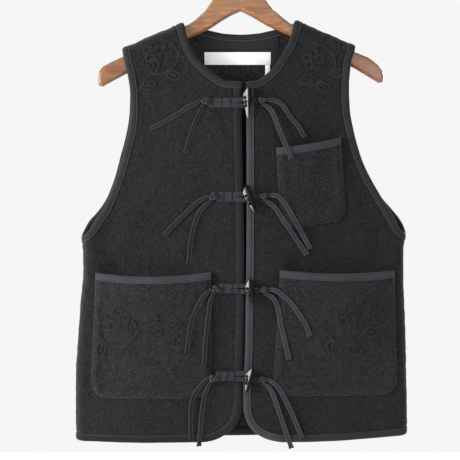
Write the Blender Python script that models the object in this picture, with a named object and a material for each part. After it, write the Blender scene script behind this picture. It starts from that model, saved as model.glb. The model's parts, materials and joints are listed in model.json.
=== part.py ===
"""A collarless fleece vest with tied toggles, hung on a wooden hanger.

The origin is the point inside the hook where the hanger rests on its rail. X runs to the right
as the vest is seen from its front, the front faces -Y and Z is up. Sizes are in millimetres and
are turned into metres where the solids are made. Heights are measured up from the vest's hem.
"""
import math
from collections import namedtuple

import bmesh
import bpy
from mathutils import Vector

MM = 0.001

# Cloth and tape
WALL = 3.0                 # thickness of the fleece
GAP = 0.3                  # room between two pieces that are sewn together
TAPE = 1.0                 # thickness of the folded edge tape
TAPE_DEPTH = 9.5           # how far the tape reaches in from the cut edge
TAPE_NOSE = 1.5            # how far the tape stands out past the cut edge
ROLL_ROOM = 0.5            # more room for it where an armhole goes round the side
NECK_ROOM = 0.2            # and over the cut edge behind the neck
RIBBON_WIDTH = 7.0         # the flat tape that the ties are made of
RIBBON = 1.5               # its thickness

# Whole garment
HEM_BELOW_HOOK = 742.0     # from the rail to the hem
ROLL = 11.0                # radius of the cloth round its sides and over the shoulders
LENS_POWER = 1.5           # how the fullness fades towards the side seams

FRONT = -1
BACK = 1
QUARTER = math.pi / 2

# Where the cloth turns round at each height: the left and the right side
Side = namedtuple("Side", "height left right")
SIDES = [
    Side(0, -239.0, 241.2), Side(30, -241.0, 243.5), Side(90, -241.0, 242.5), Side(150, -237.5, 241.5),
    Side(200, -234.0, 239.5), Side(250, -230.0, 238.0), Side(280, -230.5, 238.5), Side(300, -231.5, 240.5),
    Side(350, -222.0, 232.0), Side(450, -205.0, 208.0), Side(580, -196.0, 194.0), Side(640, -196.0, 194.0),
]

# The line along the top of the shoulders, carried on across the open neck
Crest = namedtuple("Crest", "x height")
CRESTS = [
    Crest(-200, 560.0), Crest(-173, 572.5), Crest(-133, 591.0), Crest(-95, 606.5), Crest(-85, 610.6),
    Crest(-75, 616.5), Crest(-55, 626.0), Crest(0, 634.0), Crest(55, 628.5), Crest(72, 619.0), Crest(82, 613.6),
    Crest(92, 610.0), Crest(124.5, 596.0), Crest(159, 580.5), Crest(170, 575.5), Crest(200, 561.0),
]

# How far the front and the back stand out between the side seams
Fullness = namedtuple("Fullness", "height swell")
FULLNESS = [
    Fullness(0, 14.0), Fullness(60, 13.5), Fullness(200, 15.0), Fullness(300, 15.0), Fullness(400, 13.0),
    Fullness(500, 8.5), Fullness(560, 4.0), Fullness(600, 1.5), Fullness(640, 1.0),
]

# Soft folds: where each lies, how it leans, how long and wide it is, and how far it stands out or in
Fold = namedtuple("Fold", "face x height lean length width depth")
FOLDS = [
    Fold(FRONT, -194, 318, 0.10, 62, 17, -2.6), Fold(FRONT, -112, 395, -0.12, 90, 38, -2.4),
    Fold(FRONT, -20, 330, 0.00, 110, 22, 1.4), Fold(FRONT, -165, 14, 0.05, 44, 44, 1.8),
    Fold(FRONT, -86, 14, -0.05, 44, 42, -1.2), Fold(FRONT, 196, 318, -0.14, 60, 20, -2.6),
    Fold(FRONT, 118, 392, 0.10, 95, 40, -1.6), Fold(FRONT, 176, 20, -0.05, 44, 42, -1.6),
    Fold(FRONT, 102, 16, 0.05, 44, 42, 1.1), Fold(FRONT, 34, 330, 0.00, 110, 20, 1.2),
    Fold(BACK, -150, 300, 0.08, 150, 30, -3.4), Fold(BACK, -66, 190, -0.06, 170, 34, 3.0),
    Fold(BACK, 22, 250, 0.03, 190, 30, -3.2), Fold(BACK, 96, 170, 0.05, 150, 32, 2.8),
    Fold(BACK, 168, 290, -0.08, 140, 28, -3.4), Fold(BACK, -120, 60, 0.00, 70, 26, -2.2),
    Fold(BACK, 60, 50, 0.00, 60, 28, -2.4), Fold(BACK, 0, 520, 0.00, 40, 60, 1.5),
]

# Cut edges of the fronts. Each row runs from the centre front or neck to the side or armhole.
# A side of None is the side seam, and bow is how far the row's middle hangs down.
FrontRow = namedtuple("FrontRow", "edge_x edge_height side_x side_height bow")
FRONT_LEFT = [
    FrontRow(-50.5, 0.7, None, 0.5, 1.5), FrontRow(-37.0, 4.2, None, 6.0, 1.0),
    FrontRow(-25.5, 10.0, None, 13.0, 0.5), FrontRow(-14.5, 19.0, None, 22.0, 0.0),
    FrontRow(-6.8, 29.5, None, 32.0, 0.0), FrontRow(-1.8, 41.0, None, 43.0, 0.0),
    FrontRow(0.2, 57.0, None, 58.0, 0.0), FrontRow(1.1, 92.0, None, 92.0, 0.0),
    FrontRow(1.9, 128.0, None, 128.0, 0.0), FrontRow(2.7, 164.0, None, 164.0, 0.0),
    FrontRow(3.3, 200.0, None, 200.0, 0.0), FrontRow(3.4, 235.0, None, 235.0, 0.0),
    FrontRow(3.4, 268.0, None, 268.0, 0.0), FrontRow(3.2, 294.0, None, 297.0, 0.0),
    FrontRow(3.2, 299.0, -230.6, 297.3, 0.0), FrontRow(3.1, 304.0, -228.1, 298.4, 0.0),
    FrontRow(3.1, 310.0, -224.6, 301.2, 0.0), FrontRow(3.0, 318.0, -220.0, 306.5, 0.0),
    FrontRow(2.8, 332.0, -211.5, 319.6, 0.0), FrontRow(2.4, 356.0, -196.0, 344.0, 0.0),
    FrontRow(1.6, 386.0, -181.0, 382.0, 0.0), FrontRow(0.6, 420.0, -170.0, 419.0, 0.0),
    FrontRow(0.1, 452.0, -162.0, 453.0, 0.0), FrontRow(0.0, 482.0, -159.0, 478.0, 0.0),
    FrontRow(-0.1, 505.0, -159.0, 490.0, 0.0), FrontRow(-0.2, 521.5, -159.2, 500.0, 0.0),
    FrontRow(-20.0, 523.2, -159.8, 510.0, 0.0), FrontRow(-39.5, 533.6, -161.3, 521.0, 0.0),
    FrontRow(-56.0, 548.0, -163.3, 532.0, 0.0), FrontRow(-68.5, 562.5, -165.5, 542.0, 0.0),
    FrontRow(-77.0, 579.0, -168.0, 552.0, 0.0),
]
FRONT_RIGHT = [
    FrontRow(58.5, 0.7, None, 9.0, 2.5), FrontRow(42.0, 4.0, None, 14.0, 2.0),
    FrontRow(28.0, 10.2, None, 20.5, 1.5), FrontRow(19.0, 17.0, None, 27.0, 1.0),
    FrontRow(9.3, 32.0, None, 41.0, 0.5), FrontRow(5.4, 49.0, None, 56.0, 0.0),
    FrontRow(4.9, 70.0, None, 75.0, 0.0), FrontRow(5.9, 100.0, None, 103.0, 0.0),
    FrontRow(7.6, 134.0, None, 135.0, 0.0), FrontRow(8.0, 167.0, None, 167.0, 0.0),
    FrontRow(8.6, 201.0, None, 201.0, 0.0), FrontRow(9.1, 236.0, None, 236.0, 0.0),
    FrontRow(9.6, 271.0, None, 272.0, 0.0), FrontRow(9.8, 299.0, None, 302.0, 0.0),
    FrontRow(9.9, 303.0, 239.5, 302.4, 0.0), FrontRow(9.9, 308.0, 237.0, 303.7, 0.0),
    FrontRow(9.9, 314.0, 233.4, 307.0, 0.0), FrontRow(9.9, 322.0, 228.8, 313.4, 0.0),
    FrontRow(9.9, 334.0, 221.5, 327.4, 0.0), FrontRow(9.9, 354.0, 208.6, 348.3, 0.0),
    FrontRow(9.9, 380.0, 192.6, 375.3, 0.0), FrontRow(9.9, 415.0, 175.7, 410.0, 0.0),
    FrontRow(9.8, 450.0, 164.8, 447.3, 0.0), FrontRow(9.6, 482.0, 158.9, 477.0, 0.0),
    FrontRow(9.2, 505.0, 157.8, 490.0, 0.0), FrontRow(8.5, 521.5, 157.3, 500.0, 0.0),
    FrontRow(22.0, 522.8, 157.1, 510.0, 0.0), FrontRow(37.5, 532.5, 157.2, 521.0, 0.0),
    FrontRow(51.0, 546.5, 157.9, 532.0, 0.0), FrontRow(62.5, 564.0, 158.9, 543.0, 0.0),
    FrontRow(71.5, 581.0, 160.5, 554.0, 0.0),
]
UNDERARM_ROW = 13          # the row that ends where the side seam meets the armhole
NECK_ROW = 25              # the row that starts at the front neck's corner

# Where each shoulder begins to turn over and where its seam lies, at the neck and at the armhole
Shoulder = namedtuple("Shoulder", "neck_brow arm_brow neck_seam arm_seam back_corner")
SHOULDER_LEFT = Shoulder(-82.8, -170.3, -85.3, -173.0, -82.0)
SHOULDER_RIGHT = Shoulder(78.8, 164.8, 81.5, 168.0, 77.6)
SHOULDER_STEPS = 3
CORNER_TILT = 0.35         # how far round the shoulder's turn the back neck begins, in radians
CORNER_REACH = [1.0, 0.45, 0.1]      # how much the columns from there outwards share in its shape

# Cut edges of the back. Dip is how far a row has taken on the shape of the shoulders and neck.
BackRow = namedtuple("BackRow", "left_x left_height right_x right_height dip bow")
BACK_ROWS = [
    BackRow(None, 0.5, None, 9.0, 0.0, 3.5), BackRow(None, 14.0, None, 21.0, 0.0, 2.0),
    BackRow(None, 32.0, None, 38.0, 0.0, 1.0), BackRow(None, 60.0, None, 64.0, 0.0, 0.0),
    BackRow(None, 95.0, None, 98.0, 0.0, 0.0), BackRow(None, 131.0, None, 132.0, 0.0, 0.0),
    BackRow(None, 166.0, None, 167.0, 0.0, 0.0), BackRow(None, 201.0, None, 201.0, 0.0, 0.0),
    BackRow(None, 236.0, None, 236.0, 0.0, 0.0), BackRow(None, 270.0, None, 272.0, 0.0, 0.0),
    BackRow(None, 297.0, None, 302.0, 0.0, 0.0), BackRow(-230.8, 302.5, 240.0, 308.0, 0.0, 0.0),
    BackRow(-227.8, 311.0, 237.6, 316.6, 0.0, 0.0), BackRow(-222.4, 320.5, 232.4, 326.1, 0.0, 0.0),
    BackRow(-212.0, 332.0, 222.2, 338.6, 0.0, 0.0), BackRow(-199.0, 350.5, 206.5, 357.0, 0.0, 0.0),
    BackRow(-186.0, 382.0, 191.0, 377.0, 0.03, 0.0),
    BackRow(-176.0, 419.0, 174.0, 412.0, 0.08, 0.0), BackRow(-168.0, 450.0, 163.0, 448.0, 0.18, 0.0),
    BackRow(-163.3, 480.0, 157.5, 480.0, 0.35, 0.0), BackRow(-162.4, 508.0, 156.3, 508.0, 0.58, 0.0),
    BackRow(-164.8, 532.0, 157.0, 531.0, 0.80, 0.0), BackRow(-168.0, 549.0, 159.5, 550.0, 0.93, 0.0),
]
BACK_UNDERARM_ROW = 10
UNDERARM_LEANS = [(8.5, 5.5), (7.5, 7.0), (5.5, 8.5), (2.5, 9.0)]      # the tape leans in and down by these

# The back neck's cut edge between the two shoulder seams
NeckPoint = namedtuple("NeckPoint", "x height")
BACK_NECK = [
    NeckPoint(-74, 608.2), NeckPoint(-66, 607.0), NeckPoint(-45, 601.8), NeckPoint(-23, 597.4),
    NeckPoint(0, 596.1), NeckPoint(23, 597.4), NeckPoint(45, 601.8), NeckPoint(63, 607.0),
    NeckPoint(70.5, 609.6),
]

# How a row is shared out, from the side seam inwards: close together where the cloth turns
SIDE_SHARES = [0.0, 0.0175, 0.035, 0.053, 0.075, 0.14, 0.22, 0.31, 0.41, 0.51, 0.62, 0.74, 0.87, 1.0]
BACK_LEFT_SHARES = [0.0, 0.009, 0.018, 0.028, 0.04, 0.08, 0.135, 0.185, 0.232]
BACK_RIGHT_SHARES = [0.0, 0.009, 0.018, 0.028, 0.04, 0.08, 0.135, 0.185, 0.225]
BACK_NECK_SHARES = [0.0, 0.045, 0.1, 0.23, 0.375, 0.5, 0.625, 0.75, 0.87, 0.955, 1.0]

# Patch pockets by their corners. The mouth sags, and the pouch stands off the front.
Pocket = namedtuple("Pocket", "top_left top_right bottom_left bottom_right corner sag pouch")
POCKETS = {
    "pocket_lower_left": Pocket((-211, 244), (-43, 245), (-220, 62), (-41.5, 62), 27, 7.0, 9.0),
    "pocket_lower_right": Pocket((56.5, 248), (224, 246.5), (46, 66), (229, 66), 26, 5.0, 9.0),
    "pocket_chest": Pocket((51, 424.5), (145, 440), (57.5, 307), (154.5, 321), 19, 2.5, 7.5),
}
POCKET_COLUMNS = 11
POCKET_CORNER_STEPS = 3
POCKET_ROWS = 7
POUCH_SIDE_POWER = 0.7
POUCH_RISE_POWER = 1.6
MOUTH_ROOM = 1.8           # the room for it
MOUTH_ROOM_START = 24.0    # the pocket stands off for its tape over this far below the mouth
MOUTH_ROOM_LENGTH = 12.0

# Closures from the top down: the toggle's top and tip, both tapes' ends and both knots
Closure = namedtuple("Closure", "tape_height tape_end toggle_top toggle_tip left_knot right_knot")
CLOSURES = [
    Closure(491.9, 7.5, (9.5, 513.0), (10.4, 469.6), (-51.7, 494.0), (29.4, 495.0)),
    Closure(355.0, 8.5, (5.5, 371.0), (22.2, 330.0), (-40.0, 355.5), (31.0, 356.0)),
    Closure(222.4, 10.5, (11.0, 235.5), (18.5, 199.0), (-37.0, 221.7), (31.6, 220.5)),
    Closure(95.6, 8.5, (15.0, 107.0), (8.0, 72.5), (-40.9, 93.0), (29.4, 91.0)),
]
KNOT_HALF = (5.4, 4.4, 3.2)
KNOT_SEAT = 0.87           # how near its middle a tape ends, as a share of its half size
TAPE_SLIT = 0.8
TAPE_JOIN = 0.42           # share of the doubled tape that is tacked down as one
LOOP_WIDTH = 3.2
TAPE_COLUMNS = 5

# Ties: each route lies on the front, from its knot to its free end
TIES = {
    "tie_1_left_a": [(-78, 484.5), (-96, 473.0), (-115, 462.5), (-132.5, 454)],
    "tie_1_left_b": [(-62.5, 471.0), (-69.0, 455.0), (-74.5, 438.0), (-80, 419.5)],
    "tie_1_right_a": [(49.0, 495.5), (61.0, 488.4), (71.1, 472.9), (84.2, 457.3), (93.1, 442)],
    "tie_1_right_b": [(43.0, 482.5), (49.1, 470.0), (55.5, 452.0), (63.0, 433.5), (72.5, 411)],
    "tie_2_left_a": [(-62.0, 347.5), (-75.5, 335.0), (-88, 323.2), (-111.2, 299.6)],
    "tie_2_left_b": [(-55.5, 338.0), (-63.5, 324.0), (-71.2, 297.1), (-75.1, 258.3)],
    "tie_2_right_a": [(53.5, 356.0), (67.1, 340.5), (86.6, 306.2), (101.0, 279.7)],
    "tie_2_right_b": [(46.5, 342.5), (56.0, 330.5), (73.7, 303.5), (95.8, 271.3)],
    "tie_3_left_a": [(-54.5, 209.5), (-63.0, 195.0), (-71.2, 173.2), (-77.8, 130.5)],
    "tie_3_left_b": [(-44.0, 202.0), (-46.0, 186.1), (-50.5, 147.3), (-52.3, 114.5)],
    "tie_3_right_a": [(52.0, 219.0), (71.4, 203.0), (90.3, 176.8), (100.4, 153.6)],
    "tie_3_right_b": [(46.5, 209.0), (53.5, 195.0), (58.5, 168.1), (69.8, 120.3)],
    "tie_4_left_a": [(-57.5, 82.0), (-66.5, 69.5), (-71.2, 53.0), (-72.0, 30.0), (-71.2, 4.0)],
    "tie_4_left_b": [(-49.5, 75.0), (-53.8, 59.0), (-57.0, 30.0), (-58.6, 8.0), (-60.2, -5.8)],
    "tie_4_right_a": [(47.0, 86.5), (58.5, 73.0), (72.4, 45.4), (81.5, 24.0), (89.2, 5.3)],
    "tie_4_right_b": [(43.5, 76.0), (51.7, 55.7), (58.0, 37.0), (63.4, 20.8), (73.7, -8.9)],
}
TIE_STATIONS = 10
TIE_WAYS = {"a": (1.0, 0.2), "b": (0.42, -1.0)}      # which way each tie leaves its knot, outwards and up
TIE_GAP = 0.4              # room between a tie and what it lies on
TIE_START_WIDTH = 3.4      # the tape is pinched where it leaves its knot
TIE_PINCH = 0.22           # share of the tie over which it spreads to its full width
COVER_REACH = 8.5          # how far round itself a tie looks for what it has to pass over
COVER_PASSES = 40

# Facing and labels inside the back neck
FACING_HALF = 57.0
FACING_DROP = 11.0         # its top edge lies this far below the cut edge of the neck
FACING_LOW = 574.5
FACING_THICK = 1.0
FACING_COLUMNS = 12
LABEL_LEFT, LABEL_RIGHT = -53.5, 45.0
LABEL_LOW, LABEL_HIGH = 553.0, 571.5
LABEL_THICK = 0.8
LABEL_BOW = 1.0
TAB_LEFT, TAB_RIGHT, TAB_LENGTH = 37.0, 44.0, 25.0

# Hanger: the heights of its top and underside along its length, and half its depth
Station = namedtuple("Station", "x top bottom half_depth")
HANGER = [
    Station(-209.5, 533.0, 524.0, 2.5), Station(-208.0, 541.0, 519.5, 5.0), Station(-203.0, 547.5, 518.5, 6.2),
    Station(-189.4, 555.0, 526.0, 6.5), Station(-174.8, 561.5, 534.0, 6.5), Station(-145.0, 576.5, 550.5, 6.5),
    Station(-115.0, 592.0, 567.5, 6.5), Station(-85.0, 606.2, 585.0, 6.5), Station(-75.0, 610.6, 590.0, 6.5),
    Station(-66.0, 617.0, 594.0, 6.8),
    Station(-51.5, 630.5, 600.5, 7.0), Station(-41.4, 645.5, 606.0, 7.0), Station(-34.0, 660.0, 611.0, 7.0),
    Station(-26.0, 673.5, 616.0, 7.0), Station(-13.0, 682.5, 623.5, 7.0), Station(0.0, 684.5, 629.5, 7.0),
    Station(12.5, 682.5, 623.5, 7.0), Station(25.0, 673.5, 616.5, 7.0), Station(32.5, 660.0, 612.0, 7.0),
    Station(39.3, 645.5, 608.0, 7.0), Station(49.0, 631.5, 603.5, 7.0), Station(63.0, 619.5, 597.5, 6.8),
    Station(72.0, 612.2, 593.5, 6.5), Station(81.5, 608.8, 589.0, 6.5), Station(112.0, 595.5, 573.5, 6.5),
    Station(142.0, 582.0, 558.5, 6.5),
    Station(168.5, 569.5, 545.0, 6.5), Station(190.0, 560.5, 532.0, 6.5), Station(203.5, 550.0, 524.0, 6.2),
    Station(209.0, 541.5, 525.0, 5.0), Station(210.5, 535.0, 529.0, 2.5),
]
HANGER_CREST = 2.5         # half the flat along the top
HANGER_BEVEL = 4.0

# Hook: its wire, its crook and its stem
WIRE_RADIUS = 1.9
CROOK_RADIUS = 19.0        # inside
CROOK_START = 205.0        # degrees, at the hook's tip
CROOK_END = -32.0
HOOK_STEM = [(9.0, -41.5), (2.2, -47.0), (0.0, -53.0), (0.0, -57.1)]

# Toggles: shares of the length with the width, the depth and the ridge's place
Slice = namedtuple("Slice", "share width depth ridge")
TOGGLE_SLICES = [
    Slice(0.0, 9.5, 5.6, 0.10), Slice(0.10, 13.0, 7.6, 0.08), Slice(0.34, 12.2, 7.8, 0.06),
    Slice(0.66, 8.2, 6.2, 0.05), Slice(0.92, 3.8, 3.6, 0.02), Slice(1.0, 1.8, 1.8, 0.0),
]
TOGGLE_EDGE = 0.38         # how thick the toggle's sides are, as a share of its depth
TOGGLE_FOOT = 0.86         # how wide its underside is, as a share of its width
TOGGLE_HOLES = [0.33, 0.58]
TOGGLE_HOLE_RADIUS = 1.1
TOGGLE_HOLE_ASIDE = -2.4

# Finishes: colour, roughness, metallic
FLEECE = ((0.028, 0.028, 0.031), 0.95, 0.0)
TAPE_CLOTH = ((0.055, 0.056, 0.066), 0.85, 0.0)
RIBBON_CLOTH = ((0.052, 0.053, 0.063), 0.85, 0.0)
WHITE_WEAVE = ((0.83, 0.83, 0.82), 0.8, 0.0)
HORN = ((0.55, 0.54, 0.52), 0.25, 0.0)
WOOD = ((0.52, 0.25, 0.10), 0.4, 0.0)
STEEL = ((0.7, 0.7, 0.7), 0.25, 1.0)


def smooth_value(rows, key, value, at):
    """Reads a table along a curve that has no overshoot."""
    keys = [getattr(row, key) for row in rows]
    values = [getattr(row, value) for row in rows]
    if at <= keys[0]:
        return values[0]
    if at >= keys[-1]:
        return values[-1]
    here = max(i for i in range(len(keys) - 1) if keys[i] <= at)
    slopes = [(values[i + 1] - values[i]) / (keys[i + 1] - keys[i]) for i in range(len(keys) - 1)]

    def tangent(i):
        if i == 0 or i == len(keys) - 1:
            return slopes[min(i, len(slopes) - 1)]
        before, after = slopes[i - 1], slopes[i]
        return 0.0 if before * after <= 0 else 2 * before * after / (before + after)

    span = keys[here + 1] - keys[here]
    t = (at - keys[here]) / span
    return ((2 * t**3 - 3 * t**2 + 1) * values[here] + (t**3 - 2 * t**2 + t) * span * tangent(here)
            + (-2 * t**3 + 3 * t**2) * values[here + 1] + (t**3 - t**2) * span * tangent(here + 1))


def smooth_step(value):
    value = min(1.0, max(0.0, value))
    return value * value * (3 - 2 * value)


def half_width(height, x):
    """How far out the cloth turns round at this height, on the side where x lies."""
    if x > 0:
        return smooth_value(SIDES, "height", "right", height)
    return -smooth_value(SIDES, "height", "left", height)


def crest_height(x):
    return smooth_value(CRESTS, "x", "height", x)


def fold_depth(face, x, height):
    total = 0.0
    for fold in FOLDS:
        if fold.face == face:
            aside = (x - fold.x - fold.lean * (height - fold.height)) / fold.width
            along = (height - fold.height) / fold.length
            total += fold.depth * math.exp(-aside * aside - along * along)
    return total


def cloth_point(face, across, rise):
    """A point on the middle of the cloth. Across and rise run along the cloth, round its turns."""
    half = half_width(rise, across)
    flat = half - ROLL
    turn = max(0.0, abs(across) - flat) / ROLL
    x = math.copysign(min(abs(across), flat) + ROLL * math.sin(turn), across)
    brow = crest_height(x) - ROLL
    tilt = max(0.0, rise - brow) / ROLL
    height = min(rise, brow) + ROLL * math.sin(tilt)
    fullness = smooth_value(FULLNESS, "height", "swell", height) * max(0.0, 1 - (x / half) ** 2) ** LENS_POWER
    fullness += fold_depth(face, x, height) * math.cos(turn)
    depth = (ROLL * math.cos(turn) + fullness) * math.cos(tilt)
    return Vector((x, face * (depth + GAP / 2), height))


def cloth_normal(face, across, rise):
    """The direction out of the garment there."""
    step = 0.4
    sideways = cloth_point(face, across + step, rise) - cloth_point(face, across - step, rise)
    upward = cloth_point(face, across, rise + step) - cloth_point(face, across, rise - step)
    return sideways.cross(upward).normalized() * -face


def on_cloth(face, across, rise, level):
    """A point that stands off the middle of the cloth by a level, outwards."""
    return cloth_point(face, across, rise) + cloth_normal(face, across, rise) * level


def along_side(x, height):
    """Turns a place seen from the front into one along the cloth, round the side."""
    flat = half_width(height, x) - ROLL
    if abs(x) <= flat:
        return x
    return math.copysign(flat + ROLL * math.asin(min(1.0, (abs(x) - flat) / ROLL)), x)


def side_seam(height, sign):
    return sign * (half_width(height, sign) - ROLL + ROLL * QUARTER)


def row_end(x, height, sign):
    """Where a panel's row ends: on the side seam, or at a place that is given as seen from the front."""
    return side_seam(height, sign) if x is None else along_side(x, height)


def shoulder_seam(x):
    return crest_height(x) - ROLL + ROLL * QUARTER


def mix(a, b, share):
    return a + (b - a) * share


def front_grid(rows, shoulder, sign):
    """Rows of places along the cloth of one front, from the centre or neck to the side."""
    grid = []
    for row in rows:
        edge = row.edge_x
        side = row_end(row.side_x, row.side_height, sign)
        line = []
        for share in reversed(SIDE_SHARES):
            inward = 1 - share
            rise = mix(row.edge_height, row.side_height, inward) - row.bow * math.sin(math.pi * inward)
            line.append((mix(edge, side, inward), rise))
        grid.append(line)
    for step in range(SHOULDER_STEPS + 1):
        share = step / SHOULDER_STEPS
        edge = mix(shoulder.neck_brow, shoulder.neck_seam, share)
        side = mix(shoulder.arm_brow, shoulder.arm_seam, share)
        line = []
        for column in reversed(SIDE_SHARES):
            x = mix(edge, side, 1 - column)
            line.append((x, shoulder_seam(x) - ROLL * QUARTER * (1 - share)))
        grid.append(line)
    return grid


def neck_columns():
    """The back's first and last column on the cut edge of its neck."""
    first = len(BACK_LEFT_SHARES)
    return first, first + len(BACK_NECK_SHARES) - 1


def back_top(x):
    """The height of the back's cut edge along the cloth: the shoulder seams with the neck between them."""
    left, right = SHOULDER_LEFT.back_corner, SHOULDER_RIGHT.back_corner
    if x < left or x > right:
        return shoulder_seam(x)
    ends = [NeckPoint(left, corner_rise(left, 0.0))] + BACK_NECK + [NeckPoint(right, corner_rise(right, 0.0))]
    return smooth_value(ends, "x", "height", x)


def corner_rise(x, share):
    """How high the back neck's corner lies along the cloth, from its foot up to the shoulder seam."""
    return shoulder_seam(x) - ROLL * (QUARTER - CORNER_TILT) * (1 - share)


def back_shares():
    """Where the back's columns lie between its left and right edges, with one at each end of the neck."""
    left, right = SHOULDER_LEFT, SHOULDER_RIGHT
    span = right.arm_brow - left.arm_brow
    first, last = (left.back_corner - left.arm_brow) / span, (right.back_corner - left.arm_brow) / span
    neck = [mix(first, last, share) for share in BACK_NECK_SHARES]
    return BACK_LEFT_SHARES + neck + [1 - share for share in reversed(BACK_RIGHT_SHARES)]


def corner_tilt(column):
    """How far round the shoulder's turn a column of the back begins, next to the back neck's corner."""
    first, last = neck_columns()
    away = max(first - column, column - last, 0)
    return CORNER_TILT * CORNER_REACH[away] if away < len(CORNER_REACH) else 0.0


def back_grid():
    """Rows of places along the cloth of the back, from its left edge to its right edge."""
    shares = back_shares()
    first, last = neck_columns()
    brow_xs = [mix(SHOULDER_LEFT.arm_brow, SHOULDER_RIGHT.arm_brow, share) for share in shares]
    brow_line = []
    for column, x in enumerate(brow_xs):
        if first <= column <= last:
            brow_line.append(back_top(x))
        else:
            brow_line.append(shoulder_seam(x) - ROLL * (QUARTER - corner_tilt(column)))
    grid = []
    for row in BACK_ROWS:
        left = row_end(row.left_x, row.left_height, -1)
        right = row_end(row.right_x, row.right_height, 1)
        line = []
        for share, brow in zip(shares, brow_line):
            rise = mix(row.left_height, row.right_height, share) - row.bow * math.sin(math.pi * share)
            rise += row.dip * (brow - mix(brow_line[0], brow_line[-1], share))
            line.append((mix(left, right, share), rise))
        grid.append(line)
    grid.append(list(zip(brow_xs, brow_line)))
    for step in range(1, SHOULDER_STEPS + 1):
        share = step / SHOULDER_STEPS
        line = []
        for column, x in enumerate(brow_xs):
            edge = SHOULDER_LEFT if x < 0 else SHOULDER_RIGHT
            along = (x - edge.arm_brow) / (edge.back_corner - edge.arm_brow)
            seam_x = mix(edge.arm_seam, edge.neck_seam, along)
            x = mix(seam_x, x, (1 - share) ** 1.5)
            tilt = mix(corner_tilt(column), QUARTER, share)
            line.append((x, shoulder_seam(x) - ROLL * (QUARTER - tilt)))
        grid.append(line)
    return grid


def back_cells(grid):
    """The back's cells: the turn over the shoulders stops at the neck's corners."""
    first, last = neck_columns()
    cells = []
    for row in range(len(grid) - 1):
        over = row >= len(BACK_ROWS)
        cells.append([not (over and first <= column < last) for column in range(len(grid[0]) - 1)])
    return cells


def new_object(name, mesh_builder, finish, smooth_angle=40.0):
    """Makes a named object with its own finish from the faces that a function draws, in millimetres."""
    drawing = bmesh.new()
    mesh_builder(drawing)
    bmesh.ops.remove_doubles(drawing, verts=drawing.verts, dist=1e-5)
    bmesh.ops.recalc_face_normals(drawing, faces=drawing.faces)
    for vertex in drawing.verts:
        vertex.co = Vector((vertex.co.x, vertex.co.y, vertex.co.z)) * MM
    mesh = bpy.data.meshes.new(name)
    drawing.to_mesh(mesh)
    drawing.free()
    mesh.shade_smooth()
    mesh.set_sharp_from_angle(angle=math.radians(smooth_angle))
    obj = bpy.data.objects.new(name, mesh)
    bpy.context.scene.collection.objects.link(obj)
    give_finish(obj, finish)
    return obj


def give_finish(obj, finish):
    colour, roughness, metallic = finish
    material = bpy.data.materials.new(obj.name)
    material.use_nodes = True
    shader = material.node_tree.nodes["Principled BSDF"]
    shader.inputs["Base Color"].default_value = (*colour, 1.0)
    shader.inputs["Roughness"].default_value = roughness
    shader.inputs["Metallic"].default_value = metallic
    obj.data.materials.append(material)


def raised(point):
    """Moves a point from heights over the hem to heights under the rail."""
    return Vector((point.x, point.y, point.z - HEM_BELOW_HOOK))


def draw_wall(drawing, outer, inner, keep=None):
    """Draws a closed wall between two grids of points, over the cells that are kept."""
    rows, columns = len(outer), len(outer[0])
    if keep is None:
        keep = [[True] * (columns - 1) for _ in range(rows - 1)]
    used = set()
    for r in range(rows - 1):
        for c in range(columns - 1):
            if keep[r][c]:
                used.update({(r, c), (r + 1, c), (r, c + 1), (r + 1, c + 1)})
    out = {place: drawing.verts.new(raised(outer[place[0]][place[1]])) for place in sorted(used)}
    back = {place: drawing.verts.new(raised(inner[place[0]][place[1]])) for place in sorted(used)}

    def kept(r, c):
        return 0 <= r < rows - 1 and 0 <= c < columns - 1 and keep[r][c]

    for r in range(rows - 1):
        for c in range(columns - 1):
            if not keep[r][c]:
                continue
            ring = [(r, c), (r, c + 1), (r + 1, c + 1), (r + 1, c)]
            drawing.faces.new([out[place] for place in ring])
            drawing.faces.new([back[place] for place in reversed(ring)])
            beside = [kept(r - 1, c), kept(r, c + 1), kept(r + 1, c), kept(r, c - 1)]
            for side in range(4):
                if not beside[side]:
                    a, b = ring[side], ring[(side + 1) % 4]
                    drawing.faces.new([out[b], out[a], back[a], back[b]])


def draw_loft(drawing, sections, closed=False):
    """Joins rings of points into a tube, with ends unless it closes on itself."""
    rings = [[drawing.verts.new(raised(point)) for point in section] for section in sections]
    count = len(rings[0])
    pairs = list(zip(rings, rings[1:]))
    if closed:
        pairs.append((rings[-1], rings[0]))
    for first, second in pairs:
        for i in range(count):
            j = (i + 1) % count
            drawing.faces.new([first[i], first[j], second[j], second[i]])
    if not closed:
        drawing.faces.new(rings[0])
        drawing.faces.new(list(reversed(rings[-1])))


def make_cloth_wall(name, face, grid, finish, inside, outside, keep=None):
    """A piece of cloth between two levels over the middle of the panel that it lies on."""
    inner = [[on_cloth(face, across, rise, inside) for across, rise in line] for line in grid]
    outer = [[on_cloth(face, across, rise, outside) for across, rise in line] for line in grid]
    return new_object(name, lambda drawing: draw_wall(drawing, outer, inner, keep), finish)


def tape_profile(middle):
    """The edge tape's section as depths in from the cut edge and levels off the cloth's middle."""
    low = WALL / 2 + GAP
    high = low + TAPE
    depths = [TAPE_DEPTH, TAPE_DEPTH / 2, -GAP] if middle else [TAPE_DEPTH, -GAP]
    outside = [(depth, high) for depth in depths] + [(-TAPE_NOSE, 0.0)]
    outside += [(depth, -high) for depth in reversed(depths)]
    inside = [(depth, -low) for depth in depths] + [(depth, low) for depth in reversed(depths)]
    return outside + inside


TapeStop = namedtuple("TapeStop", "face across rise hand toward seam")


def stops_along(face, places, hand, toward=None, seams=None):
    """Stops of a tape. The cloth lies on the left of its run where the hand is 1, on the right where -1.

    Toward gives places that some stops' sections point to, and seams the ones that lie on a seam.
    """
    toward, seams = toward or {}, seams or {}
    return [TapeStop(face, a, r, hand, toward.get(i), seams.get(i)) for i, (a, r) in enumerate(places)]


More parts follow.
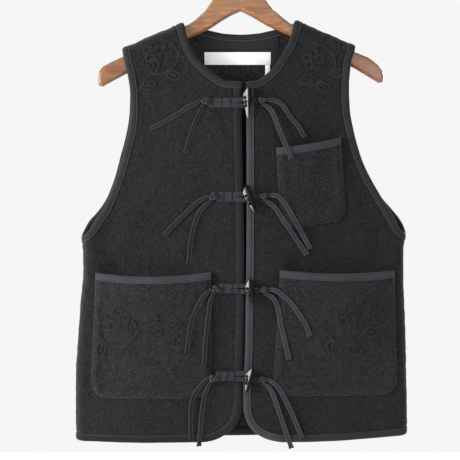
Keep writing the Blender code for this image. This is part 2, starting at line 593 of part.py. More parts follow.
def tape_sections(stops, closed=False, middle=False):
    """Sections of an edge tape at its stops."""
    sections = []
    count = len(stops)
    for i, stop in enumerate(stops):
        before = stops[(i - 1) % count] if closed or i else stop
        after = stops[(i + 1) % count] if closed or i < count - 1 else stop
        run = Vector((after.across - before.across, after.rise - before.rise))
        inward = (Vector((-run.y, run.x)) * stop.hand).normalized()
        if stop.toward:
            inward = (Vector(stop.toward) - Vector((stop.across, stop.rise))).normalized()
        if stop.seam == "side":
            inward = Vector((0.0, math.copysign(1.0, inward.y)))
        rounding = closed and abs(stop.across) > half_width(stop.rise, stop.across) - ROLL
        room = ROLL_ROOM if rounding else 0.0
        section = []
        for depth, level in tape_profile(middle):
            across, rise = stop.across + inward.x * depth, stop.rise + inward.y * depth
            if stop.seam == "side":
                across = side_seam(rise, math.copysign(1.0, across))
            point = cloth_point(stop.face, across, rise)
            normal = cloth_normal(stop.face, across, rise)
            if stop.seam:
                normal = Vector((normal.x, 0.0, normal.z)).normalized()
                point.y = 0.0 if closed or stop.seam == "shoulder" else stop.face * GAP / 2
            section.append(point + normal * (level + math.copysign(room, level)))
        sections.append(section)
    return sections


def make_tape(name, sections, closed=False):
    return new_object(name, lambda drawing: draw_loft(drawing, sections, closed), TAPE_CLOTH)


def make_panels():
    """The two fronts and the back."""
    left = front_grid(FRONT_LEFT, SHOULDER_LEFT, -1)
    right = front_grid(FRONT_RIGHT, SHOULDER_RIGHT, 1)
    back = back_grid()
    make_cloth_wall("front_left", FRONT, left, FLEECE, -WALL / 2, WALL / 2)
    make_cloth_wall("front_right", FRONT, right, FLEECE, -WALL / 2, WALL / 2)
    make_cloth_wall("back", BACK, back, FLEECE, -WALL / 2, WALL / 2, back_cells(back))
    return left, right, back


def make_neck_tape(left, right, back):
    """One tape from the centre of the left front, round behind the neck, to the centre of the right front."""
    turn = SHOULDER_STEPS
    sections = []
    for front, sign in ((left, -1), (right, 1)):
        rows = front[NECK_ROW:]
        places = [line[0] for line in rows]
        places[0] = (places[0][0] - sign * TAPE_NOSE, places[0][1])
        toward = {i: rows[i][1] for i in range(len(rows) - turn - 1, len(rows))}
        stops = stops_along(FRONT, places, -sign, toward, {len(rows) - 1: "shoulder"})
        sections.append(tape_sections(stops))
    first, last = neck_columns()
    brow = len(BACK_ROWS)
    down = [(back[brow + i][first], back[brow + i][first - 1]) for i in range(turn, -1, -1)]
    up = [(back[brow + i][last], back[brow + i][last + 1]) for i in range(turn + 1)]
    across_back = [(across, rise + NECK_ROOM) for across, rise in back[brow][first + 1:last]]
    places = [place for place, beside in down] + across_back + [place for place, beside in up]
    toward = {i: beside for i, (place, beside) in enumerate(down)}
    toward.update({len(places) - len(up) + i: beside for i, (place, beside) in enumerate(up)})
    behind = tape_sections(stops_along(BACK, places, -1, toward))
    make_tape("neck_tape", sections[0] + behind[1:-1] + list(reversed(sections[1])))


def make_armhole_tapes(left, right, back):
    """The rings of tape round the armholes."""
    sides = [("armhole_tape_left", left, 0, 1, -1), ("armhole_tape_right", right, -1, -2, 1)]
    for name, front, column, beside, sign in sides:
        rows = front[UNDERARM_ROW:]
        top = len(rows) - 1
        toward = {i: rows[i][-2] for i in range(top - SHOULDER_STEPS, top + 1)}
        stops = stops_along(FRONT, [line[-1] for line in rows], sign, toward, {0: "side", top: "shoulder"})
        rows = list(reversed(back[BACK_UNDERARM_ROW + 1:-1]))
        toward = {i: rows[i][beside] for i in range(SHOULDER_STEPS)}
        places = [line[column] for line in rows]
        straight = len(places) - len(UNDERARM_LEANS)
        turn = dense(places[straight:], 2)
        for i, (place, lean) in enumerate(zip(turn, dense(UNDERARM_LEANS, 2))):
            toward[straight + i] = (place[0] - sign * lean[0], place[1] - lean[1])
        stops += stops_along(BACK, places[:straight] + turn, -sign, toward)
        make_tape(name, tape_sections(stops, closed=True, middle=True), closed=True)


def make_front_and_hem_tapes(left, right, back):
    """The tapes down the fronts' edges and along their hems, and the back's hem tape."""
    for name, front, sign in (("front_edge_tape_left", left, -1), ("front_edge_tape_right", right, 1)):
        corner, below = front[NECK_ROW][0], front[NECK_ROW - 1][0]
        drop = TAPE_DEPTH + GAP
        top = (mix(corner[0], below[0], drop / (corner[1] - below[1])), corner[1] - drop)
        path = [top] + [line[0] for line in reversed(front[1:NECK_ROW])] + front[0]
        stops = stops_along(FRONT, path, sign, seams={len(path) - 1: "side"})
        make_tape(name, tape_sections(stops))
    ends = {0: "side", len(back[0]) - 1: "side"}
    make_tape("back_hem_tape", tape_sections(stops_along(BACK, back[0], 1, seams=ends)))


def pocket_shape(pocket):
    """Places of a patch pocket along the cloth with how far it stands off, row by row from its bottom."""
    height = (pocket.top_left[1] + pocket.top_right[1] - pocket.bottom_left[1] - pocket.bottom_right[1]) / 2
    climbs = []
    for step in range(POCKET_CORNER_STEPS + 1):
        climbs.append(pocket.corner * (1 - math.cos(QUARTER * step / POCKET_CORNER_STEPS)))
    for step in range(1, POCKET_ROWS + 1):
        climbs.append(mix(pocket.corner, height, step / POCKET_ROWS))
    rows = []
    for climb in climbs:
        short = max(0.0, pocket.corner - climb)
        inset = pocket.corner - math.sqrt(max(0.0, pocket.corner**2 - short**2))
        v = climb / height
        left = Vector(pocket.bottom_left).lerp(Vector(pocket.top_left), v)
        right = Vector(pocket.bottom_right).lerp(Vector(pocket.top_right), v)
        run = (right - left).normalized()
        left += run * inset
        right -= run * inset
        row = []
        for column in range(POCKET_COLUMNS + 1):
            u = column / POCKET_COLUMNS
            place = left.lerp(right, u)
            sag = pocket.sag * math.sin(math.pi * u) * smooth_step((climb - height / 2) / (height / 2))
            bulge = pocket.pouch * math.sin(math.pi * u) ** POUCH_SIDE_POWER * v**POUCH_RISE_POWER
            room = MOUTH_ROOM * smooth_step((climb - height + MOUTH_ROOM_START) / MOUTH_ROOM_LENGTH)
            row.append((place.x, place.y - sag, GAP + bulge + room))
        rows.append(row)
    return rows


def make_pocket(name, pocket):
    """A patch pocket and the tape over its mouth."""
    rows = pocket_shape(pocket)
    base = WALL / 2
    inner = [[on_cloth(FRONT, a, r, base + off) for a, r, off in row] for row in rows]
    outer = [[on_cloth(FRONT, a, r, base + off + WALL) for a, r, off in row] for row in rows]
    new_object(name, lambda drawing: draw_wall(drawing, outer, inner), FLEECE)

    mouth, below = rows[-1], rows[-2]
    sections = []
    for (a, r, off), (a2, r2, off2) in zip(mouth, below):
        down = Vector((a2 - a, r2 - r))
        reach = down.length
        down.normalize()
        section = []
        for depth, level in tape_profile(False):
            share = max(0.0, depth) / reach
            stand = base + mix(off, off2, share) + WALL / 2
            section.append(on_cloth(FRONT, a + down.x * depth, r + down.y * depth, stand + level))
        sections.append(section)
    make_tape(name + "_tape", sections)


def dense(points, per_span):
    """Fills in places between neighbours in a list."""
    filled = []
    for first, second in zip(points, points[1:]):
        for step in range(per_span):
            share = step / per_span
            filled.append(tuple(mix(a, b, share) for a, b in zip(first, second)))
    return filled + [points[-1]]


def tape_cover(left, right):
    """Samples of the top of the tapes along the fronts' edges and hems, for what lies over them."""
    top = WALL / 2 + GAP + TAPE
    samples = []
    for front, sign in ((left, -1), (right, 1)):
        for across, rise in dense([line[0] for line in front[:NECK_ROW]], 6):
            samples += [(across + sign * TAPE_DEPTH * share, rise, top) for share in (0.0, 0.5, 1.0)]
        for across, rise in dense(front[0], 4):
            samples += [(across, rise + TAPE_DEPTH * share, top) for share in (0.0, 0.5, 1.0)]
    return samples


def pocket_cover(pocket):
    """Samples of the top of a pocket and its tape, close enough together to leave no hole."""
    rows = [dense(row, 4) for row in pocket_shape(pocket)]
    spread = [dense([row[i] for row in rows], 4) for i in range(len(rows[0]))]
    samples = []
    for column in spread:
        lip = column[-1]
        for a, r, off in column:
            near_mouth = lip[1] - r < TAPE_DEPTH + 2
            samples.append((a, r, WALL / 2 + off + WALL + (TAPE + GAP if near_mouth else 0.0)))
    return samples


def cover_level(samples, across, rise, reach):
    level = WALL / 2
    for a, r, top in samples:
        if top > level and (a - across) ** 2 + (r - rise) ** 2 < reach * reach:
            level = top
    return level


def curve_through(points, count):
    """Places evenly spaced along a smooth curve through a few points."""
    fine = []
    last = len(points) - 1
    for i in range(last):
        p0, p1 = Vector(points[max(i - 1, 0)]), Vector(points[i])
        p2, p3 = Vector(points[i + 1]), Vector(points[min(i + 2, last)])
        for step in range(16):
            t = step / 16
            fine.append(0.5 * (2 * p1 + (p2 - p0) * t + (2 * p0 - 5 * p1 + 4 * p2 - p3) * t**2
                               + (3 * p1 - p0 - 3 * p2 + p3) * t**3))
    fine.append(Vector(points[-1]))
    lengths = [0.0]
    for a, b in zip(fine, fine[1:]):
        lengths.append(lengths[-1] + (b - a).length)
    places = []
    for i in range(count):
        target = lengths[-1] * i / (count - 1)
        j = max(k for k in range(len(lengths)) if lengths[k] <= target + 1e-9)
        if j >= len(fine) - 1:
            places.append(fine[-1])
        else:
            places.append(fine[j].lerp(fine[j + 1], (target - lengths[j]) / (lengths[j + 1] - lengths[j])))
    return places


def eased_levels(levels):
    """Draws a taut, smooth line over a row of levels that it may not go below."""
    line = list(levels)
    for _ in range(COVER_PASSES):
        for i in range(1, len(line) - 1):
            line[i] = max(levels[i], (line[i - 1] + line[i + 1]) / 2)
    return line


def tie_route(name, route):
    """The tie's places from the edge of its knot to its free end."""
    closure = CLOSURES[int(name.split("_")[1]) - 1]
    left = "left" in name
    knot = Vector(closure.left_knot if left else closure.right_knot)
    way = Vector(TIE_WAYS[name[-1]]).normalized()
    if left:
        way.x = -way.x
    edge = 1 / math.sqrt((way.x / KNOT_HALF[0]) ** 2 + (way.y / KNOT_HALF[1]) ** 2)
    return [knot + way * (edge * KNOT_SEAT + 2 * GAP)] + route


def make_tie(name, route, samples):
    """One free tail: a flat ribbon that lies over the front and whatever is sewn on it."""
    places = curve_through(tie_route(name, route), TIE_STATIONS)
    levels = [cover_level(samples, p.x, p.y, COVER_REACH) + TIE_GAP + RIBBON / 2 for p in places]
    levels = eased_levels(levels)
    centres = [on_cloth(FRONT, p.x, p.y, level) for p, level in zip(places, levels)]
    sections = []
    for i, centre in enumerate(centres):
        run = (centres[min(i + 1, len(centres) - 1)] - centres[max(i - 1, 0)]).normalized()
        normal = cloth_normal(FRONT, places[i].x, places[i].y)
        aside = normal.cross(run).normalized()
        out = run.cross(aside).normalized()
        spread = smooth_step(i / (len(centres) - 1) / TIE_PINCH)
        half = mix(TIE_START_WIDTH, RIBBON_WIDTH, spread) / 2
        sections.append([centre + aside * half * a + out * RIBBON / 2 * b
                         for a, b in ((-1, -1), (1, -1), (1, 1), (-1, 1))])
    new_object(name, lambda drawing: draw_loft(drawing, sections), RIBBON_CLOTH)


def make_doubled_tape(name, start, end, height, band, samples, joined_first):
    """Two bands side by side with a slit between them, joined over a part of their length."""
    levels = []
    xs = [mix(start, end, i / TAPE_COLUMNS) for i in range(TAPE_COLUMNS + 1)]
    for x in xs:
        levels.append(cover_level(samples, x, height, band + 2) + GAP)
    levels = eased_levels(levels)
    edges = [-band - TAPE_SLIT / 2, -TAPE_SLIT / 2, TAPE_SLIT / 2, band + TAPE_SLIT / 2]
    inner = [[on_cloth(FRONT, x, height + e, level) for x, level in zip(xs, levels)] for e in edges]
    outer = [[on_cloth(FRONT, x, height + e, level + RIBBON) for x, level in zip(xs, levels)] for e in edges]
    joined = round(TAPE_COLUMNS * TAPE_JOIN)
    middle = [(c < joined) if joined_first else (c >= TAPE_COLUMNS - joined) for c in range(TAPE_COLUMNS)]
    keep = [[True] * TAPE_COLUMNS, middle, [True] * TAPE_COLUMNS]
    new_object(name, lambda drawing: draw_wall(drawing, outer, inner, keep), RIBBON_CLOTH)
    return [level + RIBBON for level in levels]


def make_knot(name, place, samples):
    """A small flattened lump of knotted tape."""
    level = cover_level(samples, place[0], place[1], KNOT_HALF[0]) + GAP + KNOT_HALF[2]
    centre = raised(on_cloth(FRONT, place[0], place[1], level))

    def draw(drawing):
        bmesh.ops.create_uvsphere(drawing, u_segments=8, v_segments=5, radius=1.0)
        for vertex in drawing.verts:
            x, y, z = vertex.co
            vertex.co = centre + Vector((x * KNOT_HALF[0], y * KNOT_HALF[2], z * KNOT_HALF[1]))

    new_object(name, draw, RIBBON_CLOTH)


def make_toggle(name, closure, level):
    """A tapering peg of horn with a ridge down its face and two holes."""
    top = on_cloth(FRONT, *closure.toggle_top, level)
    tip = on_cloth(FRONT, *closure.toggle_tip, level)
    run = (tip - top).normalized()
    out = Vector((0.0, -1.0, 0.0))
    out = (out - run * out.dot(run)).normalized()
    aside = out.cross(run).normalized()
    if aside.x < 0:
        aside = -aside
    sections = []
    for cut in TOGGLE_SLICES:
        centre = top.lerp(tip, cut.share)
        half, edge = cut.width / 2, cut.depth * TOGGLE_EDGE
        foot = half * TOGGLE_FOOT
        outline = ((-foot, 0.0), (-half, edge), (cut.ridge * cut.width, cut.depth), (half, edge), (foot, 0.0))
        sections.append([centre + aside * a + out * b for a, b in outline])
    toggle = new_object(name, lambda drawing: draw_loft(drawing, sections), HORN, smooth_angle=25.0)
    for index, share in enumerate(TOGGLE_HOLES):
        middle = raised(top.lerp(tip, share) + aside * TOGGLE_HOLE_ASIDE + out * 4.0)

        def draw(drawing, middle=middle):
            bmesh.ops.create_cone(drawing, cap_ends=True, segments=8, radius1=TOGGLE_HOLE_RADIUS,
                                  radius2=TOGGLE_HOLE_RADIUS, depth=24.0)
            turn = Vector((0.0, 0.0, 1.0)).rotation_difference(out)
            for vertex in drawing.verts:
                vertex.co = middle + turn @ vertex.co

        cutter = new_object(f"{name}_hole_{index + 1}", draw, HORN)
        cutter.hide_render = True
        cutter.display_type = "WIRE"
        cut = toggle.modifiers.new(f"hole {index + 1}", "BOOLEAN")
        cut.operation = "DIFFERENCE"
        cut.solver = "EXACT"
        cut.object = cutter


def make_closures(samples):
    """The four toggles with their tapes, loops and knots, and the ties that hang from the knots."""
    for index, closure in enumerate(CLOSURES, start=1):
        knot_edge = KNOT_HALF[0] * KNOT_SEAT + GAP
        tape_top = make_doubled_tape(f"toggle_tape_{index}", closure.left_knot[0] + knot_edge, closure.tape_end,
                                     closure.tape_height, RIBBON_WIDTH, samples, True)
        loop_end = closure.right_knot[0] - knot_edge
        loop_top = make_doubled_tape(f"loop_tape_{index}", closure.tape_end + GAP, loop_end,
                                     closure.right_knot[1], LOOP_WIDTH, samples, True)
        make_toggle(f"toggle_{index}", closure, max(tape_top[-1], loop_top[0]) + GAP)
        make_knot(f"knot_{index}_left", closure.left_knot, samples)
        make_knot(f"knot_{index}_right", closure.right_knot, samples)
    for name, route in TIES.items():
        make_tie(name, route, samples)


def make_facing():
    """The strip inside the back neck, from under the neck tape down."""
    xs = [mix(-FACING_HALF, FACING_HALF, i / FACING_COLUMNS) for i in range(FACING_COLUMNS + 1)]
    rows = []
    for share in (0.0, 0.5, 1.0):
        rows.append([(x, mix(FACING_LOW, back_top(x) - FACING_DROP, share)) for x in xs])
    level = -WALL / 2 - GAP
    make_cloth_wall("neck_facing", BACK, rows, TAPE_CLOTH, level - FACING_THICK, level)


def make_labels():
    """A plain woven label across the back and a small tab that hangs from its right end."""
    columns = 8
    level = -WALL / 2 - GAP
    inner, outer = [], []
    for rise in (LABEL_LOW, LABEL_HIGH):
        inside, outside = [], []
        for i in range(columns + 1):
            x = mix(LABEL_LEFT, LABEL_RIGHT, i / columns)
            stand = level - LABEL_BOW * math.sin(math.pi * i / columns)
            inside.append(on_cloth(BACK, x, rise, stand - LABEL_THICK))
            outside.append(on_cloth(BACK, x, rise, stand))
        inner.append(inside)
        outer.append(outside)
    new_object("label", lambda drawing: draw_wall(drawing, outer, inner), WHITE_WEAVE)
    top = LABEL_LOW - GAP
    drops = [TAB_LENGTH, TAB_LENGTH / 2, 0.0]
    grid = [[(TAB_LEFT, top - drop), (TAB_RIGHT, top - drop)] for drop in drops]
    make_cloth_wall("label_tab", BACK, grid, WHITE_WEAVE, level - LABEL_THICK, level)


def make_hanger():
    """The wooden hanger, one solid from tip to tip."""
    sections = []
    for stop in HANGER:
        tall = stop.top - stop.bottom
        bevel = min(HANGER_BEVEL, tall * 0.3)
        flat = min(HANGER_CREST, stop.half_depth * 0.5)
        deep = stop.half_depth
        outline = [(-flat, stop.top), (-deep, stop.top - bevel), (-deep, stop.bottom + bevel), (-flat, stop.bottom),
                   (flat, stop.bottom), (deep, stop.bottom + bevel), (deep, stop.top - bevel), (flat, stop.top)]
        sections.append([Vector((stop.x, y, z)) for y, z in outline])
    new_object("hanger", lambda drawing: draw_loft(drawing, sections), WOOD, smooth_angle=50.0)


def make_hook():
    """The wire hook: a crook that goes over the rail, and a stem down to the wood."""
    radius = CROOK_RADIUS + WIRE_RADIUS
    points = []
    steps = 15
    for i in range(steps + 1):
        angle = math.radians(mix(CROOK_START, CROOK_END, i / steps))
        points.append((radius * math.cos(angle), -CROOK_RADIUS + radius * math.sin(angle)))
    points += HOOK_STEM
    path = bpy.data.curves.new("hook", "CURVE")
    path.dimensions = "3D"
    path.bevel_depth = WIRE_RADIUS * MM
    path.bevel_resolution = 2
    path.use_fill_caps = True
    spline = path.splines.new("POLY")
    spline.points.add(len(points) - 1)
    for point, (x, z) in zip(spline.points, points):
        point.co = (x * MM, 0.0, z * MM, 1.0)
    hook = bpy.data.objects.new("hook", path)
    bpy.context.scene.collection.objects.link(hook)
    give_finish(hook, STEEL)


def main():
    for obj in list(bpy.data.objects):
        bpy.data.objects.remove(obj, do_unlink=True)
    left, right, back = make_panels()
    make_neck_tape(left, right, back)
    make_armhole_tapes(left, right, back)
    make_front_and_hem_tapes(left, right, back)
    samples = tape_cover(left, right)
    for name, pocket in POCKETS.items():
        make_pocket(name, pocket)
        samples += pocket_cover(pocket)
    make_closures(samples)
    make_facing()
    make_labels()
    make_hanger()
    make_hook()


main()
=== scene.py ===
# %% [markdown]
# # A fleece vest on a wooden hanger
#
# The vest hangs from a wire hook. Two fronts and a back are cut from thick boiled wool, every cut
# edge is bound with tape, and horn toggles on doubled tapes close the front. The solids of the
# frame have the cut, and this lesson dresses them: each cloth piece is drawn again on the same
# surface with a finer mesh, its nap, its creases and its stitches.

import json
import math
from collections import namedtuple

import bpy
import numpy as np
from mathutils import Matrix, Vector
from mathutils.bvhtree import BVHTree

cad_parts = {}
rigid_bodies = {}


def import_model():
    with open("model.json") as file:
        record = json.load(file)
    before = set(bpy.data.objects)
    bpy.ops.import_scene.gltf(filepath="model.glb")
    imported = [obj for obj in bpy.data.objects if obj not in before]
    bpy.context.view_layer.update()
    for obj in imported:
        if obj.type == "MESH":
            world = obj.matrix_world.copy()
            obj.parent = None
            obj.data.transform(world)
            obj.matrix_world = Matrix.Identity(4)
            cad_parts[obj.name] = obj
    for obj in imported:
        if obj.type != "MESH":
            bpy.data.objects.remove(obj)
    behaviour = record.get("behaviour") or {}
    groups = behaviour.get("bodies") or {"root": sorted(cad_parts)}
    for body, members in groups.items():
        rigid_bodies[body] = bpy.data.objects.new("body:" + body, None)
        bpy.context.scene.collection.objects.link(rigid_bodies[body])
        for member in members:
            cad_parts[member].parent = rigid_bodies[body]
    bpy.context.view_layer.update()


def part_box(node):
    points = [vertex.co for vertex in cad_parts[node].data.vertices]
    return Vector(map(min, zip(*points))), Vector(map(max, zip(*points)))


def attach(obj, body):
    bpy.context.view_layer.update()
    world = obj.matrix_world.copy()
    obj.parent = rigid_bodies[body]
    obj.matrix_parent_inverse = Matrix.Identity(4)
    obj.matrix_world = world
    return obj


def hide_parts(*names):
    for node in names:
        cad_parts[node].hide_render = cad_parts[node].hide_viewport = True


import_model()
bpy.ops.object.select_all(action="DESELECT")
MM = 0.001
FRONT, BACK = -1, 1
QUARTER = math.pi / 2

# %% [markdown]
# ## The surface that all the cloth lies on
#
# A garment on a hanger is a flattened tube. Each panel could be sculpted by eye, but pieces that
# are sewn together have to meet, so one function gives the surface instead. It takes a place along
# the cloth, across and up from the hem in millimetres, and turns the cloth round its sides and over
# its shoulders with one small radius. Tables with named columns hold the sizes, and left and right
# are those of the picture.

# %% Sizes of the garment, in millimetres
WALL = 3.0                 # thickness of the wool
GAP = 0.3                  # room between pieces that are sewn together
SEAM_LAP = 0.1             # how far front and back run into each other at their seams
TAPE_DEPTH = 9.5           # how far the binding reaches in from the cut edge
RIBBON_WIDTH = 7.0
HEM_BELOW_HOOK = 742.0
ROLL = 11.0                # radius of the cloth round its sides and over the shoulders
LENS_POWER = 1.5           # how flat the vest's middle is from side to side


def table(columns, rows, usual=()):
    """Rows with named columns. The last ones may be left out where they have their usual value."""
    kind = namedtuple("Row", columns, defaults=usual)
    return [kind(*row) for row in rows]


SIDES = table("height left right", [
    (0, -239, 241.2), (30, -241, 243.5), (90, -241, 242.5), (150, -237.5, 241.5),
    (200, -234, 239.5), (250, -230, 238), (280, -230.5, 238.5), (300, -231.5, 240.5),
    (350, -222, 232), (450, -205, 208), (580, -196, 194), (640, -196, 194),
])
CRESTS = table("x height", [
    (-200, 560), (-173, 572.5), (-133, 591), (-95, 606.5), (-85, 610.6), (-75, 616.5), (-55, 626),
    (0, 634), (55, 628.5), (72, 619), (82, 613.6), (92, 610), (124.5, 596), (159, 580.5),
    (170, 575.5), (200, 561),
])
FULLNESS = table("height swell", [
    (0, 14), (60, 13.5), (200, 15), (300, 15), (400, 13), (500, 8.5), (560, 4), (600, 1.5),
    (640, 1),
])
print("sizes:", len(SIDES), "widths and", len(CRESTS), "heights of the shoulders")

# %% Folds and creases
# Each row says where a fold lies, how it leans, how long and wide it is, and how far it stands out
# or in. The broad ones come first. Then come creases where the cloth is pulled or hangs loose.
FOLD = "x height lean length width depth"
FOLDS = {
    FRONT: table(FOLD, [
        (-194, 318, 0.1, 62, 17, -2.6), (-112, 395, -0.12, 90, 38, -2.4),
        (-20, 330, 0, 110, 22, 1.4), (-165, 14, 0.05, 44, 44, 1.8), (-86, 14, -0.05, 44, 42, -1.2),
        (196, 318, -0.14, 60, 20, -2.6), (118, 392, 0.1, 95, 40, -1.6),
        (176, 20, -0.05, 44, 42, -1.6), (102, 16, 0.05, 44, 42, 1.1), (34, 330, 0, 110, 20, 1.2),
        (-222, 300, 0, 62, 42, 5), (-128, 300, 0, 62, 40, -3.6), (-152, 130, 0, 110, 50, 4),
        (-44, 190, 0, 190, 40, -2.6), (160, 150, 0, 150, 46, 3), (150, 318, -0.1, 50, 34, -2.4),
        (-22, 464, -0.4, 22, 6, -1.1), (-44, 476, 0.5, 10, 7, 0.9), (24, 478, 0.1, 15, 3.8, -0.8),
        (37, 475, -0.2, 17, 4.6, -0.9), (-168, 352, 0.55, 34, 9, -0.9),
        (-150, 330, 0.42, 40, 11, 0.8), (-200, 282, 0.3, 30, 9, -0.8),
        (-122, 452, -0.3, 30, 12, -0.6), (-58, 452, 0.85, 26, 10, 0.5),
        (-64, 300, 0.5, 30, 12, -0.6), (-30, 408, 0.22, 36, 9, 0.6), (-134, 262, 0.1, 20, 22, 0.7),
        (-18, 130, 0.1, 52, 8, 0.5), (-205, 40, 0.16, 26, 12, 0.7),
        (-126, 34, -0.12, 24, 15, -0.7), (-62, 42, 0.1, 22, 13, 0.5),
        (172, 356, -0.52, 32, 9, -0.9), (204, 284, -0.26, 30, 9, -0.8),
        (182, 300, -0.4, 34, 10, 0.7), (120, 478, 0.32, 28, 11, -0.6),
        (32, 452, -0.6, 24, 10, 0.5), (30, 262, -0.18, 40, 9, -0.6), (92, 274, -0.12, 22, 18, 0.6),
        (26, 120, -0.06, 54, 8, 0.5), (204, 38, -0.14, 26, 13, 0.7), (140, 32, 0.1, 22, 14, 0.6),
    ]),
    BACK: table(FOLD, [
        (-150, 300, 0.08, 150, 30, -3.4), (-66, 190, -0.06, 170, 34, 3),
        (22, 250, 0.03, 190, 30, -3.2), (96, 170, 0.05, 150, 32, 2.8),
        (168, 290, -0.08, 140, 28, -3.4), (-120, 60, 0, 70, 26, -2.2), (60, 50, 0, 60, 28, -2.4),
        (0, 520, 0, 40, 60, 1.5), (-190, 352, 0.5, 40, 11, -1), (-168, 322, 0.44, 44, 12, 0.9),
        (196, 352, -0.5, 38, 11, -1), (174, 330, -0.42, 42, 12, 0.9), (-44, 420, 0.1, 60, 15, 0.8),
        (58, 404, -0.08, 66, 16, -0.8), (-96, 118, 0.05, 60, 14, -0.8),
        (6, 96, -0.04, 70, 15, 0.9), (132, 92, -0.06, 62, 14, -0.8),
        (-196, 150, 0.05, 80, 12, 0.8), (206, 170, -0.05, 76, 12, 0.8),
        (-104, 540, 0.55, 26, 12, 0.5), (100, 538, -0.55, 26, 12, 0.5),
    ]),
}
print("folds and creases:", len(FOLDS[FRONT]), "in front and", len(FOLDS[BACK]), "behind")


# %% Reading the tables
def tangents_between(slopes):
    """Slopes at the rows of a table that give a curve with no overshoot."""
    before, after = slopes[:-1], slopes[1:]
    total = before + after
    inner = np.where(before * after > 0, 2 * before * after / np.where(total == 0, 1, total), 0.0)
    return np.concatenate([slopes[:1], inner, slopes[-1:]])


def hermite(first, last, out, into, t):
    return ((2 * t**3 - 3 * t**2 + 1) * first + (t**3 - 2 * t**2 + t) * out
            + (-2 * t**3 + 3 * t**2) * last + (t**3 - t**2) * into)


def curve_of(rows, key, value):
    """A function that reads two columns of a table along a smooth curve."""
    keys = np.array([getattr(row, key) for row in rows], float)
    values = np.array([getattr(row, value) for row in rows], float)
    tangents = tangents_between(np.diff(values) / np.diff(keys))

    def read(at):
        at = np.clip(np.asarray(at, float), keys[0], keys[-1])
        i = np.clip(np.searchsorted(keys, at, side="right") - 1, 0, len(keys) - 2)
        span = keys[i + 1] - keys[i]
        return hermite(values[i], values[i + 1], tangents[i] * span, tangents[i + 1] * span,
                       (at - keys[i]) / span)

    return read


left_side, right_side = curve_of(SIDES, "height", "left"), curve_of(SIDES, "height", "right")
crest_height = curve_of(CRESTS, "x", "height")
swell = curve_of(FULLNESS, "height", "swell")


def smooth_step(value):
    value = np.clip(value, 0.0, 1.0)
    return value * value * (3 - 2 * value)


def mix(a, b, share):
    return a + (b - a) * share


def half_width(height, x):
    return np.where(np.asarray(x) > 0, right_side(height), -left_side(height))


def side_seam(height, sign):
    return sign * (half_width(height, sign) - ROLL + ROLL * QUARTER)


def shoulder_seam(x):
    return crest_height(x) - ROLL + ROLL * QUARTER


def along_side(x, height):
    """Turns a place seen from the front into one along the cloth, round the side."""
    flat = half_width(height, x) - ROLL
    turned = flat + ROLL * np.arcsin(np.clip((np.abs(x) - flat) / ROLL, 0, 1))
    return np.where(np.abs(x) <= flat, x, np.copysign(turned, x))


print("width at the hem:", round(float(right_side(0) - left_side(0))), "mm")


# %% [markdown]
# ## Places on the cloth
#
# Wool is thick, so a piece has an outer and an inner face. A level says how far a point stands off
# the middle of the panel, outwards. Everything that is sewn on a panel uses its places and levels,
# which is how it stays on the cloth wherever the cloth goes.

# %% The surface
def fold_depth(face, x, height):
    total = np.zeros(np.broadcast(x, height).shape)
    for fold in FOLDS[face]:
        aside = (x - fold.x - fold.lean * (height - fold.height)) / fold.width
        along = (height - fold.height) / fold.length
        total += fold.depth * np.exp(-aside * aside - along * along)
    return total


def cloth_point(face, across, rise):
    """The middle of the cloth. Across and rise run along the cloth, round its turns."""
    across, rise = np.asarray(across, float), np.asarray(rise, float)
    half = half_width(rise, across)
    flat = half - ROLL
    turn = np.maximum(0.0, np.abs(across) - flat) / ROLL
    x = np.copysign(np.minimum(np.abs(across), flat) + ROLL * np.sin(turn), across)
    brow = crest_height(x) - ROLL
    tilt = np.maximum(0.0, rise - brow) / ROLL
    height = np.minimum(rise, brow) + ROLL * np.sin(tilt)
    fullness = swell(height) * np.maximum(0.0, 1 - (x / half) ** 2) ** LENS_POWER
    fullness = fullness + fold_depth(face, x, height) * np.cos(turn)
    depth = (ROLL * np.cos(turn) + fullness) * np.cos(tilt)
    return np.stack([x, face * (depth - SEAM_LAP), height], axis=-1)


def unit(vectors):
    return vectors / np.maximum(np.linalg.norm(vectors, axis=-1, keepdims=True), 1e-12)


def square_to(along, out):
    """The way out, turned so that it stands square on the way along."""
    return unit(out - along * (out * along).sum(axis=-1, keepdims=True))


def run_of(points):
    """How far along a line each of its points lies."""
    return np.concatenate([[0], np.cumsum(np.linalg.norm(np.diff(points, axis=0), axis=1))])


def hill(at, middle, reach):
    """A soft rise round a middle value, 1 high."""
    return np.exp(-((at - middle) / reach) ** 2)


def cloth_normal(face, across, rise, step=0.4):
    """The direction out of the garment."""
    sideways = cloth_point(face, across + step, rise) - cloth_point(face, across - step, rise)
    upward = cloth_point(face, across, rise + step) - cloth_point(face, across, rise - step)
    return unit(np.cross(sideways, upward)) * -face


def on_cloth(face, places, level):
    """Points in the frame, in metres, that stand off the middle of the cloth by a level."""
    across, rise = places[..., 0], places[..., 1]
    level = np.asarray(level)[..., None]
    points = cloth_point(face, across, rise) + cloth_normal(face, across, rise) * level
    return (points - [0, 0, HEM_BELOW_HOOK]) * MM


def lumps(across, rise, size, seed):
    """Soft random lumps of a size in millimetres, from -1 to 1, the same on each run."""
    field = np.random.default_rng(seed).uniform(-1, 1, (256, 256))
    u, v = np.asarray(across) / size + 1000, np.asarray(rise) / size + 1000
    i, j = np.floor(u).astype(int), np.floor(v).astype(int)
    s, t = smooth_step(u - i), smooth_step(v - j)
    corner = [[field[(i + a) % 256, (j + b) % 256] for b in (0, 1)] for a in (0, 1)]
    return mix(mix(corner[0][0], corner[0][1], t), mix(corner[1][0], corner[1][1], t), s)


print("chest stands out", round(float(-cloth_point(FRONT, 0.0, 300.0)[1]), 1), "mm")

